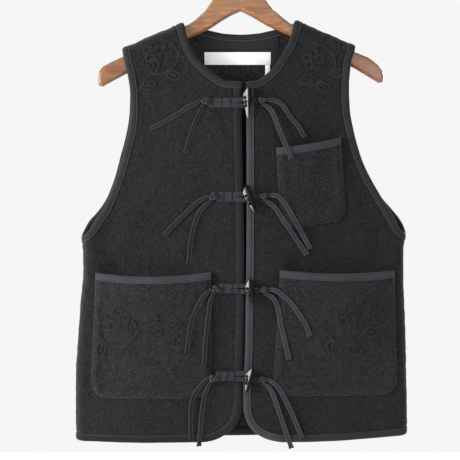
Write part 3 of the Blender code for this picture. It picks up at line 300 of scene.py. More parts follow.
# %% [markdown]
# ## Panels as fine grids
#
# The two fronts and the back are drawn from the rows of their cut edges. Between the rows the
# edges run along smooth curves, so a few rows give a whole armhole. A grid of places about 3 mm
# apart is fine enough to carry the nap, and it stays light enough to render quickly.

# %% Cut edges
# Each row of a front runs from its centre edge or neck to the side. Where it has no side_x it ends
# on the side seam. Its bow is how far its middle hangs down.
FRONT_LEFT = table("edge_x edge_height side_height side_x bow", [
    (-50.5, 0.7, 0.5, None, 1.5), (-37, 4.2, 6, None, 1), (-25.5, 10, 13, None, 0.5),
    (-14.5, 19, 22), (-6.8, 29.5, 32), (-1.8, 41, 43), (0.2, 57, 58), (1.1, 92, 92),
    (1.9, 128, 128), (2.7, 164, 164), (3.3, 200, 200), (3.4, 235, 235), (3.4, 268, 268),
    (3.2, 294, 297), (3.2, 299, 297.3, -230.6), (3.1, 304, 298.4, -228.1),
    (3.1, 310, 301.2, -224.6), (3, 318, 306.5, -220), (2.8, 332, 319.6, -211.5),
    (2.4, 356, 344, -196), (1.6, 386, 382, -181), (0.6, 420, 419, -170), (0.1, 452, 453, -162),
    (0, 482, 478, -159), (-0.1, 505, 490, -159), (-0.2, 521.5, 500, -159.2),
    (-20, 523.2, 510, -159.8), (-39.5, 533.6, 521, -161.3), (-56, 548, 532, -163.3),
    (-68.5, 562.5, 542, -165.5), (-77, 579, 552, -168),
], usual=(None, 0))
FRONT_RIGHT = table("edge_x edge_height side_height side_x bow", [
    (58.5, 0.7, 9, None, 2.5), (42, 4, 14, None, 2), (28, 10.2, 20.5, None, 1.5),
    (19, 17, 27, None, 1), (9.3, 32, 41, None, 0.5), (5.4, 49, 56), (4.9, 70, 75), (5.9, 100, 103),
    (7.6, 134, 135), (8, 167, 167), (8.6, 201, 201), (9.1, 236, 236), (9.6, 271, 272),
    (9.8, 299, 302), (9.9, 303, 302.4, 239.5), (9.9, 308, 303.7, 237), (9.9, 314, 307, 233.4),
    (9.9, 322, 313.4, 228.8), (9.9, 334, 327.4, 221.5), (9.9, 354, 348.3, 208.6),
    (9.9, 380, 375.3, 192.6), (9.9, 415, 410, 175.7), (9.8, 450, 447.3, 164.8),
    (9.6, 482, 477, 158.9), (9.2, 505, 490, 157.8), (8.5, 521.5, 500, 157.3),
    (22, 522.8, 510, 157.1), (37.5, 532.5, 521, 157.2), (51, 546.5, 532, 157.9),
    (62.5, 564, 543, 158.9), (71.5, 581, 554, 160.5),
], usual=(None, 0))
UNDERARM_ROW = 13          # the row that ends where the side seam meets the armhole
NECK_ROW = 25              # the row that starts at the front neck's corner

SHOULDER_LEFT, SHOULDER_RIGHT = table("neck_brow arm_brow neck_seam arm_seam back_corner", [
    (-82.8, -170.3, -85.3, -173.0, -82.0), (78.8, 164.8, 81.5, 168.0, 77.6),
])
SHOULDER_STEPS = 7
CORNER_TILT = 0.35         # how far round the shoulder's turn the back neck begins, in radians
CORNER_REACH = table("away share", [(0, 1.0), (11, 0.45), (27, 0.1), (45, 0.0)])

# Dip is how far a row of the back has taken on the shape of the shoulders and the neck.
BACK_ROWS = table("left_height right_height left_x right_x dip bow", [
    (0.5, 9, None, None, 0, 3.5), (14, 21, None, None, 0, 2), (32, 38, None, None, 0, 1), (60, 64),
    (95, 98), (131, 132), (166, 167), (201, 201), (236, 236), (270, 272), (297, 302),
    (302.5, 308, -230.8, 240), (311, 316.6, -227.8, 237.6), (320.5, 326.1, -222.4, 232.4),
    (332, 338.6, -212, 222.2), (350.5, 357, -199, 206.5), (382, 377, -186, 191, 0.03),
    (419, 412, -176, 174, 0.08), (450, 448, -168, 163, 0.18), (480, 480, -163.3, 157.5, 0.35),
    (508, 508, -162.4, 156.3, 0.58), (532, 531, -164.8, 157, 0.8), (549, 550, -168, 159.5, 0.93),
], usual=(None, None, 0, 0))
BACK_UNDERARM_ROW = 10
BACK_NECK = table("x height", [
    (-74, 608.2), (-66, 607), (-45, 601.8), (-23, 597.4), (0, 596.1), (23, 597.4), (45, 601.8),
    (63, 607), (70.5, 609.6),
])
CELL = 3.0                 # how far apart the grids' places are
print("cut edges:", len(FRONT_LEFT), "rows for a front,", len(BACK_ROWS), "for the back")


# %% Rows of places
def row_end(x, height, sign):
    """Where a row ends: on the side seam, or at a place that is given as seen from the front."""
    return float(side_seam(height, sign) if x is None else along_side(x, height))


def filled_rows(coarse, cell):
    """More rows between those of a table, along smooth curves. Also says which rows were there."""
    coarse = np.asarray(coarse, float)
    tangents = np.array([tangents_between(np.diff(column)) for column in coarse.T]).T
    rows, kept = [], []
    for i in range(len(coarse) - 1):
        step = np.abs(coarse[i + 1] - coarse[i])[:4].max()
        count = max(1, round(step / cell))
        kept.append(len(rows))
        for k in range(count):
            rows.append(hermite(coarse[i], coarse[i + 1], tangents[i], tangents[i + 1], k / count))
    kept.append(len(rows))
    return np.array(rows + [coarse[-1]]), kept


print("side seam at the hem:", round(row_end(None, 0, 1)), "mm across the cloth")


# %% The fronts as grids
def front_grid(front_rows, shoulder, sign, columns=80):
    """Places of one front from the centre or neck to the side, with the rows that its table has."""
    coarse = [(r.edge_x, r.edge_height, row_end(r.side_x, r.side_height, sign), r.side_height,
               r.bow, 0.0) for r in front_rows]
    brow = [(shoulder.neck_brow, crest_height(shoulder.neck_brow) - ROLL,
             shoulder.arm_brow, crest_height(shoulder.arm_brow) - ROLL, 0.0, 1.0)]
    rows, kept = filled_rows(coarse + brow, CELL)
    seam = rows[:kept[UNDERARM_ROW] + 1]
    seam[:, 2] = side_seam(seam[:, 3], sign)
    inward = np.linspace(0, 1, columns)
    edge_x, edge_height, side_x, side_height, bow, shaped = (rows[:, i:i + 1] for i in range(6))
    across = mix(edge_x, side_x, inward)
    rise = mix(edge_height, side_height, inward) - bow * np.sin(math.pi * inward)
    xs = mix(shoulder.neck_brow, shoulder.arm_brow, inward)
    curved = crest_height(xs) - mix(crest_height(xs[0]), crest_height(xs[-1]), inward)
    rise = rise + shaped * curved
    over = np.linspace(0, 1, SHOULDER_STEPS + 1)[1:, None]
    turned = mix(mix(shoulder.neck_brow, shoulder.neck_seam, over),
                 mix(shoulder.arm_brow, shoulder.arm_seam, over), inward)
    across = np.vstack([across, turned])
    rise = np.vstack([rise, shoulder_seam(turned) - ROLL * QUARTER * (1 - over)])
    return np.stack([across, rise], axis=-1), kept


left_front, left_rows = front_grid(FRONT_LEFT, SHOULDER_LEFT, -1)
right_front, right_rows = front_grid(FRONT_RIGHT, SHOULDER_RIGHT, 1)
print("fronts:", left_front.shape[:2], "and", right_front.shape[:2], "places")


# %% The back as a grid
def corner_rise(x):
    return float(shoulder_seam(x)) - ROLL * (QUARTER - CORNER_TILT)


def back_grid(side_columns=30, neck_columns=54):
    """Places of the back from left to right, its table's rows, and the neck's two end columns."""
    left, right = SHOULDER_LEFT, SHOULDER_RIGHT
    span = right.arm_brow - left.arm_brow
    first, last = ((corner - left.arm_brow) / span
                   for corner in (left.back_corner, right.back_corner))
    shares = np.concatenate([np.linspace(0, first, side_columns + 1)[:-1],
                             np.linspace(first, last, neck_columns + 1),
                             np.linspace(last, 1, side_columns + 1)[1:]])
    corners = (side_columns, side_columns + neck_columns)
    brow_x = mix(left.arm_brow, right.arm_brow, shares)
    low, high = ((side.back_corner, corner_rise(side.back_corner)) for side in (left, right))
    ends = table("x height", [low, *BACK_NECK, high])
    away = np.maximum(np.maximum(left.back_corner - brow_x, brow_x - right.back_corner), 0)
    tilt = CORNER_TILT * curve_of(CORNER_REACH, "away", "share")(away)
    brow_rise = shoulder_seam(brow_x) - ROLL * (QUARTER - tilt)
    open_neck = slice(corners[0], corners[1] + 1)
    brow_rise[open_neck] = curve_of(ends, "x", "height")(brow_x[open_neck])
    coarse = [(row_end(r.left_x, r.left_height, -1), r.left_height,
               row_end(r.right_x, r.right_height, 1), r.right_height, r.bow, r.dip)
              for r in BACK_ROWS]
    coarse.append((brow_x[0], brow_rise[0], brow_x[-1], brow_rise[-1], 0.0, 1.0))
    rows, kept = filled_rows(coarse, CELL)
    seam = rows[:kept[BACK_UNDERARM_ROW] + 1]
    seam[:, 0], seam[:, 2] = side_seam(seam[:, 1], -1), side_seam(seam[:, 3], 1)
    left_x, left_height, right_x, right_height, bow, dip = (rows[:, i:i + 1] for i in range(6))
    across = mix(left_x, right_x, shares)
    rise = mix(left_height, right_height, shares) - bow * np.sin(math.pi * shares)
    rise = rise + dip * (brow_rise - mix(brow_rise[0], brow_rise[-1], shares))
    for over in np.linspace(0, 1, SHOULDER_STEPS + 1)[1:]:
        line = []
        for x in brow_x:
            edge = left if x < 0 else right
            along = (x - edge.arm_brow) / (edge.back_corner - edge.arm_brow)
            line.append(mix(mix(edge.arm_seam, edge.neck_seam, along), x, (1 - over) ** 1.5))
        line = np.array(line)
        across = np.vstack([across, line])
        rise = np.vstack([rise, shoulder_seam(line) - ROLL * (QUARTER - mix(tilt, QUARTER, over))])
    return np.stack([across, rise], axis=-1), kept, corners


back, back_rows, neck_corners = back_grid()
print("back:", back.shape[:2], "places")

# %% [markdown]
# ## Finishes
#
# Each finish is built from nodes, so it looks right from any side and at any size. Sums and
# products of sockets are written as Python expressions, which reads like the maths it is. The wool
# needs three scales at once: nubs of about 2 mm, clumps of about 8 mm and a slow change of shade.

# %% A socket that can be used in sums
class Socket:
    """A shader output that takes part in sums and products."""

    def __init__(self, finish, output):
        self.finish = finish
        self.output = output

    def math(self, operation, first, second):
        return self.finish.node("ShaderNodeMath", {"operation": operation}, {0: first, 1: second})

    def __add__(self, other):
        return self.math("ADD", self, other)

    __radd__ = __add__

    def __sub__(self, other):
        return self.math("SUBTRACT", self, other)

    def __rsub__(self, other):
        return self.math("SUBTRACT", other, self)

    def __mul__(self, other):
        return self.math("MULTIPLY", self, other)

    __rmul__ = __mul__

    def above(self, low, high):
        """0 up to low, 1 from high, and smooth between them."""
        return self.finish.node("ShaderNodeMapRange", {"interpolation_type": "SMOOTHSTEP"},
                                {"Value": self, "From Min": low, "From Max": high})


# %% A material that is built from sockets
class Finish:
    """A material whose shader is fed by expressions."""

    def __init__(self, name, slot, roughness=0.8, metallic=0.0, **constants):
        self.name, self.slot = name, slot
        self.material = bpy.data.materials.new(name)
        self.material.use_nodes = True
        self.tree = self.material.node_tree
        self.shader = self.tree.nodes["Principled BSDF"]
        self.shader.inputs["Roughness"].default_value = roughness
        self.shader.inputs["Metallic"].default_value = metallic
        for socket, value in constants.items():
            self.shader.inputs[socket.replace("_", " ")].default_value = value
        self.place = self.node("ShaderNodeTexCoord", out="Object")

    def along_cloth(self):
        """The place on the piece's own map, in metres along its cloth."""
        return self.node("ShaderNodeUVMap", {"uv_map": "cloth"})

    def node(self, kind, settings=None, inputs=None, out=0):
        made = self.tree.nodes.new(kind)
        for key, value in (settings or {}).items():
            setattr(made, key, value)
        for key, value in (inputs or {}).items():
            if isinstance(value, Socket):
                self.tree.links.new(value.output, made.inputs[key])
            else:
                made.inputs[key].default_value = value
        return Socket(self, made.outputs[out])

    def noise(self, scale, detail=3.0, roughness=0.55, at=None, distortion=0.0):
        return self.node("ShaderNodeTexNoise", {"noise_dimensions": "3D"},
                         {"Vector": at or self.place, "Scale": scale, "Detail": detail,
                          "Roughness": roughness, "Distortion": distortion})

    def cells(self, scale, at):
        return self.node("ShaderNodeTexVoronoi", {"feature": "F1"}, {"Vector": at, "Scale": scale},
                         "Distance")

    def moved(self, at=None, scale=(1, 1, 1), rotation=(0, 0, 0)):
        return self.node("ShaderNodeMapping", {},
                         {"Vector": at or self.place, "Scale": scale, "Rotation": rotation})

    def part_of(self, vector, axis):
        return self.node("ShaderNodeSeparateXYZ", {}, {"Vector": vector}, axis)

    def blend(self, share, first, second):
        """A colour between two colours."""
        return self.node("ShaderNodeMix", {"data_type": "RGBA"},
                         {0: share, 6: grey(first), 7: grey(second)}, 2)

    def bump(self, height, distance, strength):
        return self.node("ShaderNodeBump", {},
                         {"Height": height, "Distance": distance, "Strength": strength})

    def feed(self, **links):
        for socket, value in links.items():
            self.tree.links.new(value.output, self.shader.inputs[socket.replace("_", " ")])

    def give(self, obj):
        obj.data.materials.clear()
        obj.data.materials.append(self.material)


def grey(colour):
    return colour if isinstance(colour, Socket) else (*colour, 1.0)


# %% [markdown]
# ### Boiled wool
#
# The wool is knitted and then felted, so its face is a mass of tiny curls with no weave to see.
# Curls catch light on their tops and are dark between. A cell pattern bent by noise gives curls,
# finer noise gives single fibres, and the sheen of the shader gives the soft light along edges.

# %% Wool
def wool(name, dark, light, mottle=0.5):
    finish = Finish(name, "fleece", roughness=0.95, Sheen_Weight=0.10, Sheen_Roughness=0.5,
                    Specular_IOR_Level=0.15)
    bend = finish.noise(260, 2.0)
    curls = finish.cells(430, at=finish.moved(scale=(1.0, 1.0, 1.12)))
    fine = finish.noise(1500, 3.0, 0.7)
    nubs = finish.noise(330, 3.0, 0.62, distortion=0.6)
    clumps = finish.noise(150, 2.0)
    broad = finish.noise(11, 2.0, 0.5)
    tops = (0.62 - curls) * 0.9 + (nubs - 0.5) * 2.4 + (bend - 0.5)
    shade = (tops + (clumps - 0.5) * 0.9 + 0.22 + (broad - 0.5) * mottle).above(-0.25, 1.05)
    colour = finish.blend(shade, dark, light)
    lint = finish.noise(640, 1.0).above(0.725, 0.78)
    colour = finish.blend(lint * 0.3, colour, (0.045, 0.045, 0.048))
    height = tops * 0.8 + (fine - 0.5) * 0.35 + (clumps - 0.5) * 1.2
    finish.feed(Base_Color=colour, Normal=finish.bump(height, 0.0010, 0.8))
    return finish


body_wool = wool("wool_body", (0.0012, 0.0012, 0.0014), (0.0086, 0.0086, 0.0101))
# A lighter copy of the same wool for the inner faces: painted light that brightens the shaded
# inside of the vest.
inner_wool_brightened = wool("wool_inner_brightened", (0.0020, 0.0020, 0.0023), (0.0200, 0.0200, 0.0222))
pocket_wool = wool("wool_pocket", (0.0019, 0.0019, 0.0022), (0.0128, 0.0128, 0.0149))
print("wool:", len(body_wool.tree.nodes), "nodes")

# %% [markdown]
# ### Binding tape, ribbon and thread
#
# The binding is a smooth, close twill folded over the edge. It is lighter than the wool because
# its flat face reflects more. A map runs along each tape, so the fine diagonal lines follow it
# round the armholes. The ties are a woven ribbon with a ridge along each edge. Several tapes and
# the tails are painted lighter along their edges, a painted highlight where their rolled edges
# catch the light.

# %% Woven finishes
DIMMED_TAPE = (0.0056, 0.0056, 0.0070)      # the colour a tape dims to further along X
RIDGE_START, RIDGE_FULL = 0.0022, 0.0012      # metres in from the edge of a tape or ribbon, where its painted edge highlight starts and is full


def twill(name, slot, dark, light, rib=1500.0, slant=0.6, sheen=0.08, roughness=0.78, gloss=0.2,
          edges=None, width=0.0076, fade=None):
    """A weave of two tones. Edges is the colour of a painted highlight along both edges, and fade
    says where along X it dims.
    """
    finish = Finish(name, slot, roughness=roughness, Sheen_Weight=sheen, Sheen_Roughness=0.4,
                    Specular_IOR_Level=gloss)
    place = finish.along_cloth()
    at = finish.moved(place, rotation=(0, 0, slant))
    lines = finish.node("ShaderNodeTexWave", {"wave_type": "BANDS", "bands_direction": "X"},
                        {"Vector": at, "Scale": rib / 6.283, "Distortion": 1.6, "Detail": 1.0,
                         "Detail Scale": 3.0}, 1)
    threads = finish.noise(1900, 2.0, 0.6)
    broad = finish.noise(34, 2.0)
    shade = (lines * 0.35 + (threads - 0.5) * 0.9 + (broad - 0.5) * 0.9 + 0.32).above(0.0, 1.0)
    colour = finish.blend(shade, dark, light)
    # Painted highlight: a lighter colour along both edges, where light catches the rolled edges.
    if edges:
        colour = finish.blend(painted_edge_highlight(finish, place, width) * (shade * 0.5 + 0.4), colour, edges)
    if fade:
        faded = finish.part_of(finish.place, "X").above(*fade) * 0.8
        colour = finish.blend(faded, colour, DIMMED_TAPE)
    rough = (threads - 0.5) * 0.2 + roughness
    finish.feed(Base_Color=colour, Roughness=rough,
                Normal=finish.bump(lines * 0.6 + threads * 0.5, 0.0003, 0.6))
    return finish


def painted_edge_highlight(finish, place, width):
    """1 along the two thick edges of a ribbon, where a painted highlight goes, and 0 between them.
    Its map starts at one edge.
    """
    across = finish.part_of(place, "X")
    middle = finish.node("ShaderNodeMath", {"operation": "ABSOLUTE"}, {0: across - width / 2})
    return middle.above(width / 2 - RIDGE_START, width / 2 - RIDGE_FULL)


# %% Tapes, ribbons and threads
TAPE, DARK_TAPE = (0.0112, 0.0112, 0.0137), (0.0040, 0.0040, 0.0050)
LIGHT_TAPE, FULL_TAPE = (0.0252, 0.0256, 0.0312), 0.026      # and how wide a tape is round its fold
tape_twill = twill("tape_twill", "edge_tape", TAPE, LIGHT_TAPE)
# The right front's tape: it dims further along X, and its lighter edges are a painted highlight.
right_edge_twill = twill("tape_twill_right_edge", "edge_tape", TAPE, LIGHT_TAPE,
                   edges=(0.036, 0.0364, 0.0430), width=FULL_TAPE, fade=(0.034, 0.090))
dark_twill = twill("tape_twill_dark", "edge_tape", DARK_TAPE, (0.0100, 0.0101, 0.0125))
edged_twill = twill("tape_twill_edged", "edge_tape", DARK_TAPE, (0.0106, 0.0107, 0.0132),
                    edges=(0.024, 0.0243, 0.0290), width=FULL_TAPE)
deep_twill = twill("tape_twill_deep", "edge_tape", (0.0034, 0.0034, 0.0043),
                   (0.0086, 0.0086, 0.0108), gloss=0.12, edges=(0.022, 0.0223, 0.0268),
                   width=FULL_TAPE)
RIBBON = {"slot": "ribbon", "rib": 2600.0, "slant": 0.0}
ribbon_weave = twill("ribbon_weave", dark=(0.0078, 0.0078, 0.0098), light=(0.0190, 0.0192, 0.0238),
                     **RIBBON)
tail_weave = twill("tail_weave", dark=(0.0070, 0.0070, 0.0088), light=(0.0172, 0.0174, 0.0215),
                   edges=(0.033, 0.0334, 0.0398), **RIBBON)
# A darker copy of the tails' ribbon: painted shade for the left tails, which face away from the
# light. Its lighter edges are a painted highlight.
tail_weave_shaded = twill("tail_weave_shaded", dark=(0.0034, 0.0034, 0.0044), light=(0.0084, 0.0085, 0.0108),
                     edges=(0.027, 0.0274, 0.0330), **RIBBON)
thread = twill("sewing_thread", "edge_tape", (0.019, 0.019, 0.023), (0.040, 0.0404, 0.048),
               rib=5000.0, sheen=0.2, roughness=0.55)
# Near-black thread for the holes, tacks and patch stitches, also used as a painted shadow beside
# each toggle's loop.
dark_thread_and_shadow = twill("toggle_thread", "ribbon", (0.0010, 0.0010, 0.0012), (0.0040, 0.0040, 0.0045),
                    rib=5000.0, gloss=0.05)
embroidery_thread = twill("embroidery_thread", "fleece", (0.0024, 0.0024, 0.0029),
                          (0.0100, 0.0100, 0.0118), rib=4200.0, slant=0.9, sheen=0.10,
                          roughness=0.5)
label_weave = twill("label_weave", "label_weave", (0.60, 0.60, 0.605), (0.76, 0.76, 0.76),
                    rib=3800.0, slant=1.571, sheen=0.1, roughness=0.6)
print("twill:", len(tape_twill.tree.nodes), "nodes")

# %% [markdown]
# ### Horn, wood and steel
#
# The toggles are cut from horn: one facet is a cloudy grey-white with long streaks, and the other
# is nearly black. The change runs along the ridge, so it is painted by how far across the toggle a
# point lies, which its map says. The hanger is varnished beech, stained a warm brown, with the
# grain along the arms. It is darker towards its ends, and its right arm is painted darker and
# redder towards its end as shade. The hook is plain polished wire.

# %% Horn
def horn_finish():
    finish = Finish("horn", "horn", roughness=0.5, Specular_IOR_Level=0.06)
    place = finish.along_cloth()
    streaks = finish.noise(900, 4.0, 0.6, at=finish.moved(place, scale=(1.0, 0.10, 1.0)),
                           distortion=0.5)
    clouds = finish.noise(160, 3.0, 0.5, at=finish.moved(place, scale=(1.0, 0.45, 1.0)))
    across = finish.part_of(place, "X")
    dark_side = (across + (clouds - 0.5) * 0.0022).above(0.0002, 0.0012)
    pale = finish.blend(streaks.above(0.36, 0.68), (0.094, 0.094, 0.093), (0.235, 0.235, 0.232))
    pale = finish.blend(clouds.above(0.47, 0.68) * 0.65, pale, (0.034, 0.033, 0.032))
    dark = finish.blend(streaks.above(0.45, 0.75), (0.004, 0.0037, 0.0036), (0.016, 0.015, 0.014))
    rough = (streaks - 0.5) * 0.3 + 0.5
    finish.feed(Base_Color=finish.blend(dark_side, pale, dark), Roughness=rough,
                Normal=finish.bump(streaks, 0.0003, 0.35))
    return finish


horn = horn_finish()
print("horn:", len(horn.tree.nodes), "nodes")


# %% Wood and steel
def wood_finish():
    finish = Finish("stained_beech", "wood", roughness=0.36, Coat_Weight=0.30, Coat_Roughness=0.2)
    grain_at = finish.moved(scale=(0.16, 1.0, 1.0))
    grain = finish.noise(210, 5.0, 0.62, at=grain_at, distortion=0.8)
    pores = finish.noise(1500, 2.0, 0.5, at=finish.moved(scale=(0.09, 1.0, 1.0))).above(0.60, 0.70)
    clouds = finish.noise(16, 2.0)
    x = finish.part_of(finish.place, "X")
    ends = (x * x).above(0.004, 0.044)
    warm = finish.blend(grain.above(0.30, 0.72), (0.104, 0.034, 0.0085), (0.212, 0.088, 0.0285))
    warm = finish.blend(clouds.above(0.35, 0.7) * 0.35, warm, (0.245, 0.118, 0.048))
    warm = finish.blend(ends * 0.60, warm, (0.095, 0.033, 0.012))
    # Painted shade: the right arm turns darker and redder towards its end.
    warm = finish.blend(x.above(0.08, 0.22) * 0.65, warm, (0.130, 0.030, 0.0040))
    warm = finish.blend(pores * 0.5, warm, (0.055, 0.020, 0.008))
    finish.feed(Base_Color=warm, Roughness=(grain - 0.5) * 0.2 + 0.36,
                Normal=finish.bump(grain * 0.4 - pores * 0.6, 0.0002, 0.5))
    return finish


def steel_finish():
    finish = Finish("hook_steel", "hook_wire", roughness=0.22, metallic=1.0)
    drawn = finish.noise(1400, 3.0, 0.5, at=finish.moved(scale=(1.0, 1.0, 0.2)))
    spots = finish.noise(420, 2.0).above(0.62, 0.75)
    colour = finish.blend(drawn.above(0.3, 0.7), (0.36, 0.36, 0.355), (0.55, 0.55, 0.54))
    colour = finish.blend(spots * 0.4, colour, (0.30, 0.27, 0.24))
    finish.feed(Base_Color=colour, Roughness=drawn * 0.2 + spots * 0.2 + 0.12,
                Normal=finish.bump(drawn, 0.0001, 0.3))
    return finish


wood, steel = wood_finish(), steel_finish()
print("wood:", len(wood.tree.nodes), "nodes, steel:", len(steel.tree.nodes), "nodes")

# %% [markdown]
# ## From places to meshes
#
# A sheet of wool is two grids of points, one for each face, joined round their edges. Drawing both
# faces, instead of thickening one, lets the outer face carry the nap while the inner stays calm.
# The map called cloth keeps each point's place in metres, and the woven finishes read it.

# %% Building a mesh
ALL_PIECES = []


def new_piece(name, points, faces, finish, stands_for, uv, smooth=45.0):
    """A named object from points in the frame, with its finish, riding on the garment."""
    mesh = bpy.data.meshes.new(name)
    mesh.from_pydata(np.asarray(points, float).tolist(), [],
                     [tuple(int(i) for i in face) for face in faces])
    obj = bpy.data.objects.new(name, mesh)
    bpy.context.scene.collection.objects.link(obj)
    write_map(mesh, uv)
    return finish_piece(obj, finish, stands_for, smooth)


def write_map(mesh, uv):
    """Keeps each point's place along the cloth, in metres, in the map that the weaves read."""
    layer = mesh.uv_layers.new(name="cloth")
    corners = np.zeros(len(mesh.loops), np.int32)
    mesh.loops.foreach_get("vertex_index", corners)
    layer.data.foreach_set("uv", np.asarray(uv, np.float32)[corners].ravel())


def finish_piece(obj, finish, stands_for=(), smooth=45.0):
    mesh = obj.data
    mesh.validate()
    mesh.shade_smooth()
    if smooth < 180:
        mesh.set_sharp_from_angle(angle=math.radians(smooth))
    finish.give(obj)
    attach(obj, "root")
    if stands_for:
        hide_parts(*stands_for)
    ALL_PIECES.append(obj)
    return obj


# %% Faces of grids, walls and tubes
def grid_faces(rows, columns, keep=None, closed_rows=False, closed_columns=False):
    """The four-sided faces of a grid of points, row by row."""
    r = np.arange(rows if closed_rows else rows - 1)
    c = np.arange(columns if closed_columns else columns - 1)
    r, c = np.meshgrid(r, c, indexing="ij")
    if keep is not None:
        r, c = r[keep], c[keep]
    below, beside = (r + 1) % rows, (c + 1) % columns
    faces = np.stack([r * columns + c, r * columns + beside, below * columns + beside,
                      below * columns + c], axis=-1)
    return faces.reshape(-1, 4)


print("faces of the back's grid:", len(grid_faces(*back.shape[:2])))

# The four sides of a cell: which way its neighbour lies, and the corners at the side's ends
CELL_SIDES = [((-1, 0), (0, 0), (0, 1)), ((0, 1), (0, 1), (1, 1)),
              ((1, 0), (1, 1), (1, 0)), ((0, -1), (1, 0), (0, 0))]


def draw_wall(name, outer, inner, finish, places, stands_for, keep=None):
    """A closed wall between two grids of points."""
    rows, columns = outer.shape[:2]
    count = rows * columns
    kept = np.ones((rows - 1, columns - 1), bool) if keep is None else keep
    front = grid_faces(rows, columns, kept)
    behind = front[:, ::-1] + count
    padded = np.pad(kept, 1)
    rim = []
    r, c = np.nonzero(kept)
    for way, a, b in CELL_SIDES:
        edge = ~padded[r + 1 + way[0], c + 1 + way[1]]
        first = (r[edge] + a[0]) * columns + c[edge] + a[1]
        second = (r[edge] + b[0]) * columns + c[edge] + b[1]
        rim.append(np.stack([second, first, first + count, second + count], axis=-1))
    faces = np.vstack([front, behind] + rim)
    points = np.vstack([outer.reshape(-1, 3), inner.reshape(-1, 3)])
    used = np.unique(faces)
    renumber = np.full(len(points), -1)
    renumber[used] = np.arange(len(used))
    flat = places.reshape(-1, 2) * MM
    uv = np.vstack([flat, flat])[used]
    made = new_piece(name, points[used], renumber[faces], finish, stands_for, uv)
    face_outward(made)
    return made


def open_alone(obj):
    """Opens one piece for editing, with all of it selected and nothing else."""
    bpy.ops.object.select_all(action="DESELECT")
    obj.select_set(True)
    bpy.context.view_layer.objects.active = obj
    bpy.ops.object.mode_set(mode="EDIT")
    bpy.ops.mesh.select_all(action="SELECT")


def face_outward(obj):
    open_alone(obj)
    bpy.ops.mesh.normals_make_consistent(inside=False)
    bpy.ops.object.mode_set(mode="OBJECT")
    obj.select_set(False)


def draw_tube(name, rings, finish, stands_for, around, along, closed=False):
    """A tube through rings of points, capped unless it is closed. Around and along are its map."""
    rows, columns = rings.shape[:2]
    faces = grid_faces(rows, columns, closed_rows=closed, closed_columns=True).tolist()
    if not closed:
        faces += [list(range(columns))[::-1], [(rows - 1) * columns + i for i in range(columns)]]
    uv = np.stack(np.broadcast_arrays(around[None, :], along[:, None]), axis=-1).reshape(-1, 2)
    made = new_piece(name, rings.reshape(-1, 3), faces, finish, stands_for, uv, smooth=60.0)
    face_outward(made)
    return made


# %% [markdown]
# ### The nap
#
# Boiled wool is never flat: it is a field of low clumps, it puffs up where a tape squeezes it, and
# it sinks where it is sewn. Level by level these are added to the outer face. Under a tape the nap
# is pressed down, so nothing pokes through the binding.

# %% Nap
Bump = namedtuple("Bump", "size height")              # both in millimetres
CLUMP, NUB = Bump(9.0, 0.42), Bump(4.6, 0.30)
TAPE_CLEAR, NAP_FADE = 0.3, 3.5                       # where the nap starts beside a tape
PUFF_HEIGHT, PUFF_AWAY, PUFF_REACH = 0.45, 3.5, 3.0   # how it puffs up there
INNER_NAP, INNER_CALM = 0.5, 0.8                      # the inside is flatter and calmer
NAP_RISE = 0.12                                       # the nap's own height


def distance_to(places, line):
    """How far each place lies from a line of places."""
    flat = places.reshape(-1, 2)
    near = np.full(len(flat), 1e9)
    for start in range(0, len(line), 60):
        part = line[start:start + 60]
        apart = np.linalg.norm(flat[:, None] - part[None], axis=-1).min(axis=1)
        near = np.minimum(near, apart)
    return near.reshape(places.shape[:-1])


def nap(places, edge, seed, calm=1.0):
    """How far the outer face stands over its middle level, beside a bound edge and away from it."""
    across, rise = places[..., 0], places[..., 1]
    away = distance_to(places, edge)
    free = smooth_step((away - TAPE_DEPTH - TAPE_CLEAR) / NAP_FADE)
    clump = lumps(across, rise, CLUMP.size, seed) * CLUMP.height
    clump = clump + lumps(across + 3, rise - 7, NUB.size, seed + 1) * NUB.height
    puff = PUFF_HEIGHT * hill(away - TAPE_DEPTH, PUFF_AWAY, PUFF_REACH) * (away > TAPE_DEPTH)
    return calm * free * (clump + NAP_RISE) + puff * free


print("nap: clumps of", CLUMP.size, "mm and nubs of", NUB.size, "mm")

# %% The three panels
SINKS = table("left right height reach depth", [
    (-212, -42, 250, 24, 8.5), (52, 228, 251, 21, 6.0), (50, 148, 426, 13, 1.5),
])
SINK_FADE = 34.0


def sunk(face, across, rise):
    """How far a front lies back behind a pocket's mouth, which the pocket's weight pulls open."""
    total = np.zeros(across.shape)
    for sink in SINKS if face == FRONT else []:
        window = (smooth_step((across - sink.left) / SINK_FADE)
                  * smooth_step((sink.right - across) / SINK_FADE))
        total -= sink.depth * window * hill(rise, sink.height, sink.reach)
    return total


def panel(name, face, places, edge, seed, keep=None):
    back_off = sunk(face, places[..., 0], places[..., 1])
    outer = on_cloth(face, places, WALL / 2 + nap(places, edge, seed) + back_off)
    calmer = INNER_NAP * nap(places, edge, seed + 5, INNER_CALM)
    inner = on_cloth(face, places, back_off - WALL / 2 - calmer)
    made = draw_wall(name, outer, inner, body_wool, places, (name.replace("wool_", ""),), keep)
    print(name, len(made.data.polygons), "faces")
    return made


def front_cut(grid, kept):
    """The bound edges of a front: its centre, hem, neck and armhole."""
    return np.vstack([grid[0], grid[:, 0], grid[kept[UNDERARM_ROW]:, -1]])


def brighten_inside(obj, face):
    """Gives the inner side of a panel a lighter copy of the wool: painted light that brightens the
    shaded inside.
    """
    mesh = obj.data
    mesh.materials.append(inner_wool_brightened.material)
    ways = np.empty(len(mesh.polygons) * 3)
    mesh.polygons.foreach_get("normal", ways)
    inside = ways.reshape(-1, 3)[:, 1] * face < -0.3
    mesh.polygons.foreach_set("material_index", inside.astype(np.int32))
    return int(inside.sum())


left_panel = panel("wool_front_left", FRONT, left_front, front_cut(left_front, left_rows), 11)
right_panel = panel("wool_front_right", FRONT, right_front, front_cut(right_front, right_rows), 23)

